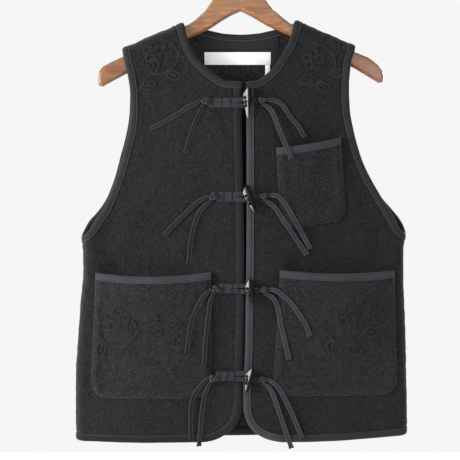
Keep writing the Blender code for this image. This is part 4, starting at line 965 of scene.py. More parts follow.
brow = len(back) - 1 - SHOULDER_STEPS
first, last = neck_corners
back_cells = np.ones((len(back) - 1, back.shape[1] - 1), bool)
back_cells[brow:, first:last] = False
back_armhole = back_rows[BACK_UNDERARM_ROW]
back_cut = np.vstack([back[0], back[brow, first:last + 1], back[brow:, first], back[brow:, last],
                      back[back_armhole:, 0], back[back_armhole:, -1]])
back_panel = panel("wool_back", BACK, back, back_cut, 37, back_cells)
lined = ((left_panel, FRONT), (right_panel, FRONT), (back_panel, BACK))
print("inner faces:", [brighten_inside(obj, face) for obj, face in lined])


# %% [markdown]
# ## Binding
#
# The binding is one strip folded over the cut edge and stitched through near its inner edge. It
# could be a flat band with a bump map, but its rolled nose and the small groove of the stitching
# are what the eye reads, so they are drawn: a rounded section is carried along the edge.

# %% Sections along an edge
TAPE_LEVEL = WALL / 2 + GAP            # where the tape's own thickness begins
TAPE_OUTSIDE = table("depth level", [
    (TAPE_DEPTH, 0.05), (9.35, 0.75), (8.8, 1.15), (8.1, 1.1), (7.4, 0.35), (6.6, 0.95), (5, 1.25),
    (3, 1.25), (1.2, 1.05), (0.1, 0.6), (-0.75, -0.3), (-1.3, -1.15),
])
TAPE_HIDDEN = [(9.3, -1), (4.0, -1), (0.0, -1), (-0.35, 0), (0.0, 1), (4.0, 1), (9.3, 1)]
TAPE_GRID = 2.6            # how far apart the sections of a tape are
STITCH_DEPTH = 7.4         # how far from the cut edge its stitches run
NOSE = 1.52                # how far the tape's nose stands out past the cut edge
UNEVEN = 0.00022           # metres by which a tape's face wanders


def tape_profile():
    """The section round the cut edge: outside, nose, inside, then back along its hidden face."""
    out = [(turn.depth, TAPE_LEVEL + turn.level) for turn in TAPE_OUTSIDE]
    ring = out + [(-NOSE, 0.0)] + [(d, -level) for d, level in reversed(out)]
    return np.array(ring + [(depth, side * TAPE_LEVEL) for depth, side in TAPE_HIDDEN])


def evened(places, gap):
    """The same line of places with even gaps."""
    places = np.asarray(places, float)
    run = run_of(places)
    count = max(2, round(run[-1] / gap))
    at = np.linspace(0, run[-1], count + 1)
    return np.stack([np.interp(at, run, places[:, k]) for k in range(places.shape[1])], axis=-1)


def softened(values, passes=2, closed=False):
    values = np.array(values, float)
    for _ in range(passes):
        if closed:
            values = (np.roll(values, 1, axis=0) + 2 * values + np.roll(values, -1, axis=0)) / 4
        else:
            inner = (values[:-2] + 2 * values[1:-1] + values[2:]) / 4
            values = np.concatenate([values[:1], inner, values[-1:]])
    return values


Strip = namedtuple("Strip", "face places inward shoulder side")


def strip_along(face, places, hand, on_shoulder=None, seam_ends=(), lean=30.0):
    """A line of places with the direction into the cloth at each.

    Where it runs over a shoulder, its sections follow the crest, and near a side seam they run
    along the seam, so that the strip on the other panel meets them.
    """
    places = np.asarray(places, float)
    shoulder = np.zeros(len(places)) if on_shoulder is None else np.asarray(on_shoulder, float)
    even = evened(np.hstack([places, shoulder[:, None]]), TAPE_GRID)
    places, shoulder = even[:, :2], smooth_step(even[:, 2])
    run = np.gradient(places, axis=0)
    inward = unit(np.stack([-run[:, 1], run[:, 0]], axis=-1) * hand)
    sideways = np.where(np.abs(inward[:, 0]) < 1e-6, 1.0, np.sign(inward[:, 0]))
    level_in = np.stack([sideways, np.zeros(len(places))], axis=-1)
    inward = unit(mix(inward, level_in, shoulder[:, None]))
    side = np.zeros(len(places))
    for end in seam_ends:
        order = np.arange(len(places)) if end == 0 else np.arange(len(places))[::-1]
        weight = 1 - smooth_step(run_of(places[order]) / lean)
        side[order] = np.maximum(side[order], weight)
        down = np.sign(inward[order[0], 1]) or 1.0
        inward[order] = unit(mix(inward[order], np.array([0.0, down]), weight[:, None]))
    return Strip(face, places, softened(inward, 2), shoulder, side)


def strip_places(strip, depth):
    """Places at a depth into the cloth from each place of the strip."""
    across = strip.places[:, 0, None] + strip.inward[:, 0, None] * depth
    rise = strip.places[:, 1, None] + strip.inward[:, 1, None] * depth
    here = strip.places[:, 0, None]
    rise = rise + strip.shoulder[:, None] * (crest_height(across) - crest_height(here))
    sign = np.sign(here)
    follow = sign * (half_width(rise, here) - half_width(strip.places[:, 1, None], here))
    return across + strip.side[:, None] * follow, rise


def strip_points(strip, profile):
    places = np.stack(strip_places(strip, profile[None, :, 0]), axis=-1)
    return on_cloth(strip.face, places, np.broadcast_to(profile[None, :, 1], places.shape[:-1]))


print("tape section:", len(tape_profile()), "points")


# %% Tapes
def draw_tape(name, strips, finish, stands_for, closed=False, reverse=()):
    """One tape that runs along one strip after another."""
    profile = tape_profile()
    parts = []
    for i, strip in enumerate(strips):
        points = strip_points(strip, profile)
        parts.append(points[::-1] if i in reverse else points)
    sections = np.vstack([part if i == 0 else part[1:] for i, part in enumerate(parts)])
    sections = settle(sections[:-1] if closed else sections, closed)
    length = run_of(sections[:, 0])
    draw_tube(name, sections, finish, stands_for, run_of(profile) * MM, length, closed)
    print(name, "runs", round(length[-1], 3), "m")


def settle(sections, closed):
    """A tape's own slight unevenness: its face lies a little higher here and lower there."""
    count = len(sections)
    wave = np.random.default_rng(count).uniform(-1, 1, (count, 1, 3))
    return sections + softened(wave, 4, closed) * UNEVEN


def over_shoulder(grid):
    """How far each row of a grid is round the shoulder: 0 below it, 1 on it."""
    return np.where(np.arange(len(grid)) < len(grid) - 1 - SHOULDER_STEPS, 0.0, 1.0)


STRIPS = {}


def bind_front(side, grid, kept, sign, finish):
    """The tape down a front's edge and along its hem, which starts just under the neck's tape."""
    corner = kept[NECK_ROW]
    down = grid[corner - 1, 0] - grid[corner, 0]
    start = grid[corner, 0] + down / np.linalg.norm(down) * (TAPE_DEPTH + GAP)
    path = [start] + [p for p in grid[:corner, 0][::-1] if p[1] < start[1]] + list(grid[0, 1:])
    strip = STRIPS["edge_" + side] = strip_along(FRONT, path, sign, seam_ends=(1,))
    draw_tape("binding_front_" + side, [strip], finish, ("front_edge_tape_" + side,))


def bind_armhole(side, grid, under, sign, back_column):
    """The tape round an armhole, up the front and down the back."""
    ahead = strip_along(FRONT, grid[under:, -1], sign, over_shoulder(grid)[under:], seam_ends=(0,))
    behind = strip_along(BACK, back[back_armhole:, back_column], sign,
                         over_shoulder(back)[back_armhole:], seam_ends=(0,))
    STRIPS["arm_front_" + side], STRIPS["arm_back_" + side] = ahead, behind
    draw_tape("binding_armhole_" + side, [ahead, behind], edged_twill, ("armhole_tape_" + side,),
              closed=True, reverse=(1,))


bind_front("left", left_front, left_rows, -1, deep_twill)
bind_armhole("left", left_front, left_rows[UNDERARM_ROW], -1, 0)
bind_front("right", right_front, right_rows, 1, right_edge_twill)
bind_armhole("right", right_front, right_rows[UNDERARM_ROW], 1, -1)
STRIPS["hem_back"] = strip_along(BACK, back[0], 1, seam_ends=(0, 1))
draw_tape("binding_hem_back", [STRIPS["hem_back"]], dark_twill, ("back_hem_tape",))


def neck_side(grid, kept, sign):
    """The neck's edge on one front. It starts past the corner, to cap the edge tape's end."""
    edge = grid[kept[NECK_ROW]:, 0]
    start = edge[0] + [-sign * NOSE, 0.0]
    turned = over_shoulder(grid)[kept[NECK_ROW]:]
    return strip_along(FRONT, np.vstack([start, edge]), -sign, np.concatenate([[0.0], turned]))


around = np.vstack([back[brow:, first][::-1], back[brow, first + 1:last], back[brow:, last]])
over = np.ones(SHOULDER_STEPS)
turned = np.concatenate([over, np.zeros(last - first + 1), over])
neck = {"neck_left": neck_side(left_front, left_rows, -1),
        "neck_back": strip_along(BACK, around, -1, turned),
        "neck_right": neck_side(right_front, right_rows, 1)}
STRIPS.update(neck)
draw_tape("binding_neck", list(neck.values()), edged_twill, ("neck_tape",), reverse=(2,))

# %% [markdown]
# ## Patch pockets
#
# Each pocket is a patch of the same wool, bound along its mouth, and stitched down along its sides
# and its round bottom. It is full in its middle, so it stands off the vest and the mouth gapes. A
# flat patch would look printed on, so the grid lifts by the pouch and sinks at the seam.

# %% Pockets
Pocket = namedtuple("Pocket", "top_left top_right bottom_left bottom_right corner sag pouch")
POCKETS = {
    "pocket_lower_left": Pocket((-211, 244), (-43, 245), (-220, 62), (-41.5, 62), 27, 7.0, 9.0),
    "pocket_lower_right": Pocket((56.5, 248), (224, 246.5), (46, 66), (229, 66), 26, 5.0, 9.0),
    "pocket_chest": Pocket((51, 424.5), (145, 440), (57.5, 307), (154.5, 321), 19, 2.5, 7.5),
}
print("pockets:", *POCKETS)

# %% How a pocket stands off
POUCH_SIDE_POWER, POUCH_RISE_POWER = 0.7, 1.6
MOUTH_ROOM, MOUTH_ROOM_START, MOUTH_ROOM_LENGTH = 1.8, 24.0, 12.0


def pocket_size(pocket):
    """The patch's mean height."""
    return (pocket.top_left[1] - pocket.bottom_left[1]
            + pocket.top_right[1] - pocket.bottom_right[1]) / 2


def pocket_places(pocket, climb, u):
    """A place in the patch: how far it climbs from the bottom and its share across."""
    height = pocket_size(pocket)
    v = climb / height
    short = np.maximum(0, pocket.corner - climb)
    inset = pocket.corner - np.sqrt(np.maximum(0, pocket.corner**2 - short**2))
    left = mix(np.array(pocket.bottom_left), np.array(pocket.top_left), v[..., None])
    right = mix(np.array(pocket.bottom_right), np.array(pocket.top_right), v[..., None])
    row = right - left
    step = row / np.linalg.norm(row, axis=-1, keepdims=True) * inset[..., None]
    left, right = left + step, right - step
    place = mix(left, right, u[..., None])
    sag = pocket.sag * np.sin(math.pi * u) * smooth_step((climb - height / 2) / (height / 2))
    return np.stack([place[..., 0], place[..., 1] - sag], axis=-1)


def pocket_lift(pocket, climb, u):
    height = pocket_size(pocket)
    across = np.sin(math.pi * np.clip(u, 0, 1)) ** POUCH_SIDE_POWER
    bulge = pocket.pouch * across * np.clip(climb / height, 0, 2) ** POUCH_RISE_POWER
    room = MOUTH_ROOM * smooth_step((climb - height + MOUTH_ROOM_START) / MOUTH_ROOM_LENGTH)
    return GAP + bulge + room


for node, pocket in POCKETS.items():
    lift = pocket_lift(pocket, pocket_size(pocket), 0.5)
    print(node, "stands off by", round(float(lift), 1), "mm at its mouth")

# %% The patches and their mouths' tapes
SEWN_EDGE, SEWN_STITCH = 6.5, 4.2     # where the patch is pressed flat, and where its stitches run
EDGE_STOPS = [0.0, 0.5, 1.2, 2.2, 3.3, 4.2, 5.1, 6.6, 8.6]
CORNER_STEPS = 12
THIN = 0.7                 # thickness at the patch's very edge
PATCH_NAP, PATCH_NAP_START, PATCH_NAP_FADE = 0.15, 1.0, 4.0
GROOVE_DEPTH, GROOVE_REACH, GROOVE_SHARE = 0.75, 1.3, 0.4      # pulled in by the stitches
FULL_HEIGHT, FULL_AWAY, FULL_REACH = 1.3, 8.5, 5.0      # and full beside them
RIPPLE_HEIGHT, RIPPLE_SIZE, RIPPLE_AWAY, RIPPLE_REACH = 0.55, 15.0, 8.0, 7.0


def draw_pocket(node, pocket, seed):
    height = pocket_size(pocket)
    width = pocket.top_right[0] - pocket.top_left[0]
    steps = np.arange(CORNER_STEPS + 1)
    rise = [pocket.corner * (1 - math.cos(QUARTER * k / CORNER_STEPS)) for k in steps]
    rise += list(np.linspace(pocket.corner, height, round((height - pocket.corner) / CELL) + 1)[1:])
    stops = np.array(EDGE_STOPS) / width
    middle = np.linspace(stops[-1], 1 - stops[-1], round(width * (1 - 2 * stops[-1]) / CELL) + 1)
    shares = np.concatenate([stops[:-1], middle, 1 - stops[:-1][::-1]])
    climb, u = np.meshgrid(rise, shares, indexing="ij")
    places = pocket_places(pocket, climb, u)
    lift = pocket_lift(pocket, climb, u)
    outline = np.vstack([evened(edge, 1.5) for edge in (places[::-1, 0], places[0], places[:, -1])])
    away = distance_to(places, outline)
    mouth = distance_to(places, evened(places[-1], 1.5))
    pressed = np.sqrt(np.clip(1 - (1 - np.clip(away / SEWN_EDGE, 0, 1)) ** 2, 0, 1))
    groove = GROOVE_DEPTH * hill(away, SEWN_STITCH, GROOVE_REACH)
    free = smooth_step((mouth - TAPE_DEPTH - TAPE_CLEAR) / NAP_FADE)
    fluff = sum(lumps(places[..., 0], places[..., 1], bump.size, seed + i) * bump.height
                for i, bump in enumerate((CLUMP, NUB)))
    fluff = (fluff + PATCH_NAP) * free * smooth_step((away - PATCH_NAP_START) / PATCH_NAP_FADE)
    rippled = ripples_near_seam(away, places, seed)
    inner = WALL / 2 + lift
    full = FULL_HEIGHT * hill(away, FULL_AWAY, FULL_REACH) * free
    outer = inner + THIN + (WALL - THIN) * pressed - GROOVE_SHARE * groove * free + fluff + rippled
    outer = outer + full
    made = draw_wall("wool_" + node, on_cloth(FRONT, places, outer), on_cloth(FRONT, places, inner),
                     pocket_wool, places, (node,))
    print(node, len(made.data.polygons), "faces")
    return made, places, outer


def ripples_near_seam(away, places, seed):
    """The seam gathers the patch a little, so low ripples run in from it."""
    ripple = lumps(places[..., 0], places[..., 1], RIPPLE_SIZE, seed + 9)
    return RIPPLE_HEIGHT * ripple * hill(away, RIPPLE_AWAY, RIPPLE_REACH)


def draw_mouth(node, pocket):
    height = pocket_size(pocket)
    profile = tape_profile()
    width = pocket.top_right[0] - pocket.top_left[0]
    shares = np.linspace(0, 1, round(width / TAPE_GRID) + 1)
    u, depth = np.meshgrid(shares, profile[:, 0], indexing="ij")
    level = np.broadcast_to(profile[:, 1], u.shape)
    climb = height - depth
    places = pocket_places(pocket, climb, u)
    middle = WALL + pocket_lift(pocket, climb, u)
    sections = settle(on_cloth(FRONT, places, middle + level), False)
    draw_tube("binding_" + node, sections, tape_twill, (node + "_tape",), run_of(profile) * MM,
              shares * width * MM)


pocket_pieces = {}
for seed, (node, pocket) in enumerate(POCKETS.items()):
    pocket_pieces[node] = draw_pocket(node, pocket, 50 + 7 * seed)
    draw_mouth(node, pocket)

# %% [markdown]
# ## Stitches
#
# The stitches are small and there are thousands, so one stitch is modelled and numpy copies it
# along each seam into one mesh per seam. A row lies in the groove of each tape, outside and inside.

# %% One stitch, copied along a seam
SEAM_STITCH, CHAIN_STITCH = table("long wide every", [(2.4, 0.75, 3.3), (4.2, 1.25, 3.1)])
PATCH_THREAD = 0.55        # width of the finer thread round the pockets
GROOVE_LEVELS = (0.50, 1.50)     # over a tape: where its stitches lie, and a point further out


def stitch_template():
    """Points and faces of one stitch, sorted, because Blender lists a ball's faces as it likes."""
    bpy.ops.object.select_all(action="DESELECT")
    bpy.ops.mesh.primitive_uv_sphere_add(segments=6, ring_count=5, radius=0.5,
                                         rotation=(0, QUARTER, 0))
    ball = bpy.context.object
    bpy.ops.object.transform_apply(rotation=True)
    points = np.array([v.co for v in ball.data.vertices])
    faces = []
    for polygon in ball.data.polygons:
        face = list(polygon.vertices)
        first = face.index(min(face))
        faces.append(face[first:] + face[:first])
    bpy.data.objects.remove(ball)
    return points, sorted(faces)


TEMPLATE_POINTS, TEMPLATE_FACES = stitch_template()


def scatter(name, spots, finish, long, wide, high=0.8):
    """One mesh from many copies of the stitch. A spot is a place, a direction and the way out."""
    place, along, out = (np.asarray(part, float) for part in spots)
    along = unit(along)
    out = square_to(along, out)
    side = np.cross(out, along)
    size = np.array([long, wide, wide * high]) * MM
    local = TEMPLATE_POINTS * size
    points = (place[:, None] + local[None, :, 0:1] * along[:, None]
              + local[None, :, 1:2] * side[:, None] + local[None, :, 2:3] * out[:, None])
    count = len(TEMPLATE_POINTS)
    faces = [[i + copy * count for i in face]
             for copy in range(len(place)) for face in TEMPLATE_FACES]
    flat = TEMPLATE_POINTS[:, :2] * size[:2]
    uv = np.tile(flat, (len(place), 1)) + np.repeat(place[:, [0, 2]], count, axis=0)
    return new_piece(name, points.reshape(-1, 3), faces, finish, (), uv, smooth=180.0)


def joined(rows):
    """Many rows of spots as one."""
    return [np.vstack([row[i] for row in rows]) for i in range(3)]


def seam_spots(line, lifted, every, start=0.5):
    """Spots along a line of points. The second line lies further out and gives the way out."""
    run = run_of(line)
    at = np.arange(start * every * MM, run[-1] - 0.3 * every * MM, every * MM)

    def read(values, shift=0.0):
        return np.stack([np.interp(at + shift, run, values[:, k]) for k in range(3)], axis=-1)

    return read(line), read(line, 0.5 * MM) - read(line, -0.5 * MM), read(lifted - line)


print("one stitch:", len(TEMPLATE_POINTS), "points,", len(TEMPLATE_FACES), "faces")


# %% The tapes' seams
def strip_seam(strip, sense):
    pair = [strip_points(strip, np.array([[STITCH_DEPTH, sense * (TAPE_LEVEL + rise)]]))[:, 0]
            for rise in GROOVE_LEVELS]
    return seam_spots(*pair, SEAM_STITCH.every)


def sew(name, strips):
    rows = [strip_seam(STRIPS[key], sense) for key in strips for sense in (1, -1)]
    return scatter(name, joined(rows), thread, SEAM_STITCH.long, SEAM_STITCH.wide)


SEAMS = {
    "stitches_front_left": ["edge_left"], "stitches_front_right": ["edge_right"],
    "stitches_armhole_left": ["arm_front_left", "arm_back_left"],
    "stitches_armhole_right": ["arm_front_right", "arm_back_right"],
    "stitches_hem_back": ["hem_back"], "stitches_neck": ["neck_left", "neck_back", "neck_right"],
}
seam_pieces = {name: sew(name, strips) for name, strips in SEAMS.items()}
print("tape seams:", len(seam_pieces))


# %% The pockets' seams
def patch_outline(pocket):
    """The line of the stitches that hold the patch: down, round both corners and up."""
    height, width = pocket_size(pocket), pocket.top_right[0] - pocket.top_left[0]
    climb = height * np.linspace(1 - (TAPE_DEPTH + 1) / height, pocket.corner / height, 60)
    u = np.full(60, SEWN_STITCH / width)
    low = np.array([float(pocket.corner)])
    centres = [pocket_places(pocket, low, np.array([share]))[0]
               for share in (pocket.corner / width, 1 - pocket.corner / width)]
    radius = pocket.corner - SEWN_STITCH
    angles = np.linspace(0, QUARTER, 14)[1:-1]
    turn_left = [centres[0] + radius * np.array([-math.cos(a), -math.sin(a)]) for a in angles]
    turn_right = [centres[1] + radius * np.array([math.sin(a), -math.cos(a)]) for a in angles]
    down, up = pocket_places(pocket, climb, u), pocket_places(pocket, climb[::-1], 1 - u)
    return evened(np.vstack([down, turn_left, turn_right, up]), 2.0)


def sew_pocket(node, pocket, places, outer):
    """Stitches round the sewn edge of the patch and along its mouth's tape."""
    line = patch_outline(pocket)
    level = near_level(places, outer, line)
    pair = [on_cloth(FRONT, line, level + rise) for rise in (0.0, 1.0)]
    outline = seam_spots(*pair, SEAM_STITCH.every)
    u = np.linspace(0.0, 1.0, 90)
    climb = np.full(90, pocket_size(pocket) - STITCH_DEPTH)
    at, middle = pocket_places(pocket, climb, u), WALL + pocket_lift(pocket, climb, u)
    mouth = []
    for sense in (1, -1):
        pair = [on_cloth(FRONT, at, middle + sense * (TAPE_LEVEL + rise)) for rise in GROOVE_LEVELS]
        mouth.append(seam_spots(*pair, SEAM_STITCH.every))
    scatter("patch_stitches_" + node, outline, dark_thread_and_shadow, SEAM_STITCH.long, PATCH_THREAD)
    return scatter("stitches_" + node, joined(mouth), thread, SEAM_STITCH.long, SEAM_STITCH.wide)


def near_level(places, levels, line):
    """The levels of the grid's places that lie nearest to each place of a line."""
    flat, values = places.reshape(-1, 2), levels.ravel()
    found = [values[np.argmin(((flat - place) ** 2).sum(axis=1))] for place in line]
    return softened(np.array(found), 3)


for node, pocket in POCKETS.items():
    seam_pieces["stitches_" + node] = sew_pocket(node, pocket, *pocket_pieces[node][1:])
print("stitched seams:", len(seam_pieces), "with",
      sum(len(p.data.polygons) for p in seam_pieces.values()), "faces")

# %% [markdown]
# ## Embroidery
#
# Plain vines are worked on the shoulders and on the lower pockets, in thread of nearly the wool's
# own colour. Only the raised chain stitches show them. A bump would vanish from the side, so each
# link is two slanted strands, laid on the wool by rays that find its face.

# %% Finding the face under a place
def face_tree(obj):
    return BVHTree.FromPolygons([v.co[:] for v in obj.data.vertices],
                                [list(p.vertices) for p in obj.data.polygons])


def land(tree, seen):
    """Where rays from the front meet the piece, for places seen from the front in millimetres."""
    spots, ways = [], []
    for x, height in seen:
        start = Vector((x * MM, -0.3, (height - HEM_BELOW_HOOK) * MM))
        spot, way, _, _ = tree.ray_cast(start, Vector((0, 1, 0)))
        spots.append((x * MM, math.nan if spot is None else spot.y, start.z))
        ways.append((math.nan,) * 3 if spot is None else (way if way.y < 0 else -way)[:])
    spots, ways = np.array(spots), np.array(ways)
    met = np.flatnonzero(~np.isnan(spots[:, 1]))
    nearest = met[np.abs(np.arange(len(spots))[:, None] - met).argmin(axis=1)]
    spots[:, 1], ways = spots[nearest, 1], ways[nearest]
    return spots, ways


def curve_through(points, gap=1.0):
    """A smooth line through a few points, with even gaps."""
    points = np.asarray(points, float)
    before, after = 2 * points[0] - points[1], 2 * points[-1] - points[-2]
    ring = np.vstack([before, points, after])
    line = []
    for i in range(1, len(ring) - 2):
        a, b, c, d = ring[i - 1:i + 3]
        t = np.linspace(0, 1, 16)[:, None]
        line.append(0.5 * (2 * b + (c - a) * t + (2 * a - 5 * b + 4 * c - d) * t**2
                           + (3 * b - a - 3 * c + d) * t**3))
    return evened(np.vstack(line), gap)


# %% The vines' plans
Vine = namedtuple("Vine", "on stem leaves blossom radius tendrils buds")
Leaf = namedtuple("Leaf", "at turn size")
VINES = {
    "shoulder_left": Vine(
        "front_left", [(-149, 510), (-134, 532), (-110, 537), (-92, 554), (-98, 578), (-119, 586)],
        [Leaf(0.04, -1.0, 24), Leaf(0.24, 1.2, 26), Leaf(0.42, -1.15, 24), Leaf(0.66, -1.2, 22)],
        (-127, 566), 16.0, [Leaf(0.9, 1.2, 9)], [(-79, 541)]),
    "shoulder_right": Vine(
        "front_right", [(80, 524), (103, 519), (126, 531), (138, 553), (124, 574), (101, 580)],
        [Leaf(0.06, 1.1, 22), Leaf(0.25, -1.1, 24), Leaf(0.46, -1.15, 22), Leaf(0.68, -1.1, 20)],
        (106, 555), 15.5, [Leaf(0.9, 1.2, 8)], [(84, 548)]),
    "pocket_left": Vine(
        "pocket_lower_left",
        [(-209, 158), (-190, 138), (-164, 142), (-142, 166), (-116, 172), (-90, 152)],
        [Leaf(0.1, -1.1, 26), Leaf(0.3, -1.15, 26), Leaf(0.46, 1.1, 28), Leaf(0.62, -1.15, 28),
         Leaf(0.84, 1.1, 24)],
        (-178, 178), 19.0, [Leaf(0.72, 1.3, 11), Leaf(0.94, -1.2, 10)], [(-208, 190), (-100, 194)]),
    "pocket_right": Vine(
        "pocket_lower_right", [(124, 158), (146, 140), (170, 150), (190, 172), (214, 166)],
        [Leaf(0.1, -1.1, 24), Leaf(0.34, -1.15, 25), Leaf(0.6, -1.1, 25), Leaf(0.8, 1.1, 22)],
        (154, 184), 17.5, [Leaf(0.5, 1.3, 10)], [(128, 190), (186, 198)]),
}
print("vines:", *VINES)


# %% Leaves, curls and blossoms
def at_share(line, share):
    i = min(len(line) - 2, int(share * (len(line) - 1)))
    return line[i], unit(line[i + 1] - line[i])


def turned_by(way, angle):
    c, s = math.cos(angle), math.sin(angle)
    return np.array([way[0] * c - way[1] * s, way[0] * s + way[1] * c])


LEAF_SPREAD, LEAF_STOPS, LEAF_FULLNESS = 0.27, (0.28, 0.55, 0.8), 0.8
CURL_STEPS, CURL_START, CURL_TIGHTENS, CURL_SHRINKS = 7, 0.35, 0.22, 0.83
PETAL_STOPS, PETAL_NARROW, PETAL_WIDE, HEART = (0.32, 0.62, 1.0), 0.12, 0.34, 0.22
BUD_RADIUS = 2.6


def leaf_lines(start, way, size):
    """Both edges of a leaf and the vein between them."""
    side = np.array([-way[1], way[0]])
    spread = size * LEAF_SPREAD
    lines = []
    for hand in (1, -1):
        bulges = [start + way * size * t
                  + side * hand * spread * math.sin(math.pi * t) ** LEAF_FULLNESS
                  for t in LEAF_STOPS]
        lines.append(curve_through([start] + bulges + [start + way * size]))
    vein = [start + way * 2, start + way * size * 0.4 + side, start + way * size * 0.72]
    return lines + [curve_through(vein)]


def curl_line(start, way, size, hand):
    points, angle, step = [start], math.atan2(way[1], way[0]), size * 0.5
    for k in range(CURL_STEPS):
        points.append(points[-1] + step * np.array([math.cos(angle), math.sin(angle)]))
        angle += hand * (CURL_START + CURL_TIGHTENS * k)
        step *= CURL_SHRINKS
    return curve_through(points)


def blossom_lines(centre, radius, petals=5):
    lines = []
    for k in range(petals):
        around = k * 2 * math.pi / petals + 0.3
        way = np.array([math.cos(around), math.sin(around)])
        side = np.array([-way[1], way[0]])
        base, waist, far = (centre + way * radius * share for share in PETAL_STOPS)
        narrow, wide = side * radius * PETAL_NARROW, side * (radius * PETAL_WIDE)
        lines.append(curve_through([base - narrow, waist - wide, far, waist + wide, base + narrow]))
    return lines + [ring_line(centre, radius * HEART)]


def ring_line(centre, radius):
    angles = np.linspace(0, 2 * math.pi, 24)
    return evened([centre + radius * np.array([math.cos(a), math.sin(a)]) for a in angles], 1.0)


def vine_lines(vine):
    stem = curve_through(vine.stem)
    lines = [stem]
    for leaf in vine.leaves:
        start, way = at_share(stem, leaf.at)
        lines += leaf_lines(start, turned_by(way, leaf.turn * 0.75), leaf.size)
    for curl in vine.tendrils:
        start, way = at_share(stem, curl.at)
        lines.append(curl_line(start, turned_by(way, curl.turn * 0.6), curl.size,
                               math.copysign(1, curl.turn)))
    lines += blossom_lines(np.array(vine.blossom, float), vine.radius)
    lines += [ring_line(np.array(bud, float), BUD_RADIUS) for bud in vine.buds]
    return lines


print("lines:", {name: len(vine_lines(vine)) for name, vine in VINES.items()})

# %% Chains of strands
STRAND_ASIDE, STRAND_LIFT, STRAND_SLANT, STRAND_HIGH = 0.85, 0.55, 0.30, 1.15


def chain_spots(tree, line):
    """Two slanted strands for each link of the chain."""
    spots, ways = land(tree, evened(line, 1.0))
    out = softened(ways, 4)
    lifted = spots + unit(out) * MM
    place, along, out = seam_spots(softened(spots, 2), lifted, CHAIN_STITCH.every, 0.4)
    along, out = unit(along), unit(out)
    side = np.cross(out, along)
    return joined([(place + side * hand * STRAND_ASIDE * MM + out * STRAND_LIFT * MM,
                    along + side * hand * STRAND_SLANT, out) for hand in (1, -1)])


for name, vine in VINES.items():
    tree = face_tree(bpy.data.objects["wool_" + vine.on])
    strands = joined([chain_spots(tree, line) for line in vine_lines(vine)])
    scatter("embroidery_" + name, strands, embroidery_thread, CHAIN_STITCH.long, CHAIN_STITCH.wide,
            STRAND_HIGH)
    print(name, len(strands[0]), "strands")

# %% [markdown]
# ## Closures
#
# Each closure is a toggle on a doubled tape, a loop on the other side, and a knot at each end of
# the pair, from which two ribbon tails hang. They were swept in the frame along the cloth. Here
# their copies get soft edges, and the tails are woven ribbon with a ridge along each edge.

# %% Pieces from the frame, merged and softened
MERGE = 0.00001            # metres between points that become one
FLAT = math.radians(0.5)   # faces that turn less than this are joined


def node_copy(name, node):
    """A merged copy of a node with flat faces joined, ready for modifiers."""
    source = bpy.data.objects[node]
    obj = source.copy()
    obj.data = source.data.copy()
    obj.name = obj.data.name = name
    bpy.context.scene.collection.objects.link(obj)
    obj.hide_render = obj.hide_viewport = False
    obj.hide_set(False)
    open_alone(obj)
    bpy.ops.mesh.remove_doubles(threshold=MERGE)
    bpy.ops.mesh.dissolve_limited(angle_limit=FLAT)
    bpy.ops.mesh.normals_make_consistent(inside=False)
    bpy.ops.object.mode_set(mode="OBJECT")
    return obj


def soften(obj, width, segments=2, angle=35.0):
    modifier = obj.modifiers.new("edges", "BEVEL")
    modifier.width, modifier.segments = width * MM, segments
    modifier.limit_method, modifier.angle_limit = "ANGLE", math.radians(angle)
    bpy.context.view_layer.objects.active = obj
    bpy.ops.object.modifier_apply(modifier=modifier.name)
    return obj


def lay_map(obj, across, along, centre=(0, 0, 0)):
    """A map for the weave, measured along two directions."""
    points = np.array([v.co for v in obj.data.vertices]) - centre
    uv = np.stack([points @ np.asarray(across, float), points @ np.asarray(along, float)], axis=-1)
    for old in list(obj.data.uv_layers):
        obj.data.uv_layers.remove(old)
    write_map(obj.data, uv)


UPWARD, SIDEWAYS = (0, 0, 1), (1, 0, 0)


def soft_copy(name, node, finish, width, across=UPWARD, along=SIDEWAYS):
    obj = soften(node_copy(name, node), width)
    lay_map(obj, across, along)
    finish_piece(obj, finish, (node,), 40.0)


NUMBERS = range(1, 5)      # the closures, from the top down
for i in NUMBERS:
    soft_copy(f"strap_{i}", f"loop_tape_{i}", dark_twill, 0.4)
print("straps:", len(NUMBERS))

# %% [markdown]
# ### Ties
#
# A tie is a flat ribbon that leaves its knot pinched and then spreads. Its lie comes from the
# frame: rays find the ribbon there, and the woven one is swept along the same line with a section
# that has thick edges. Its end is cut a little slanted and has begun to spread.

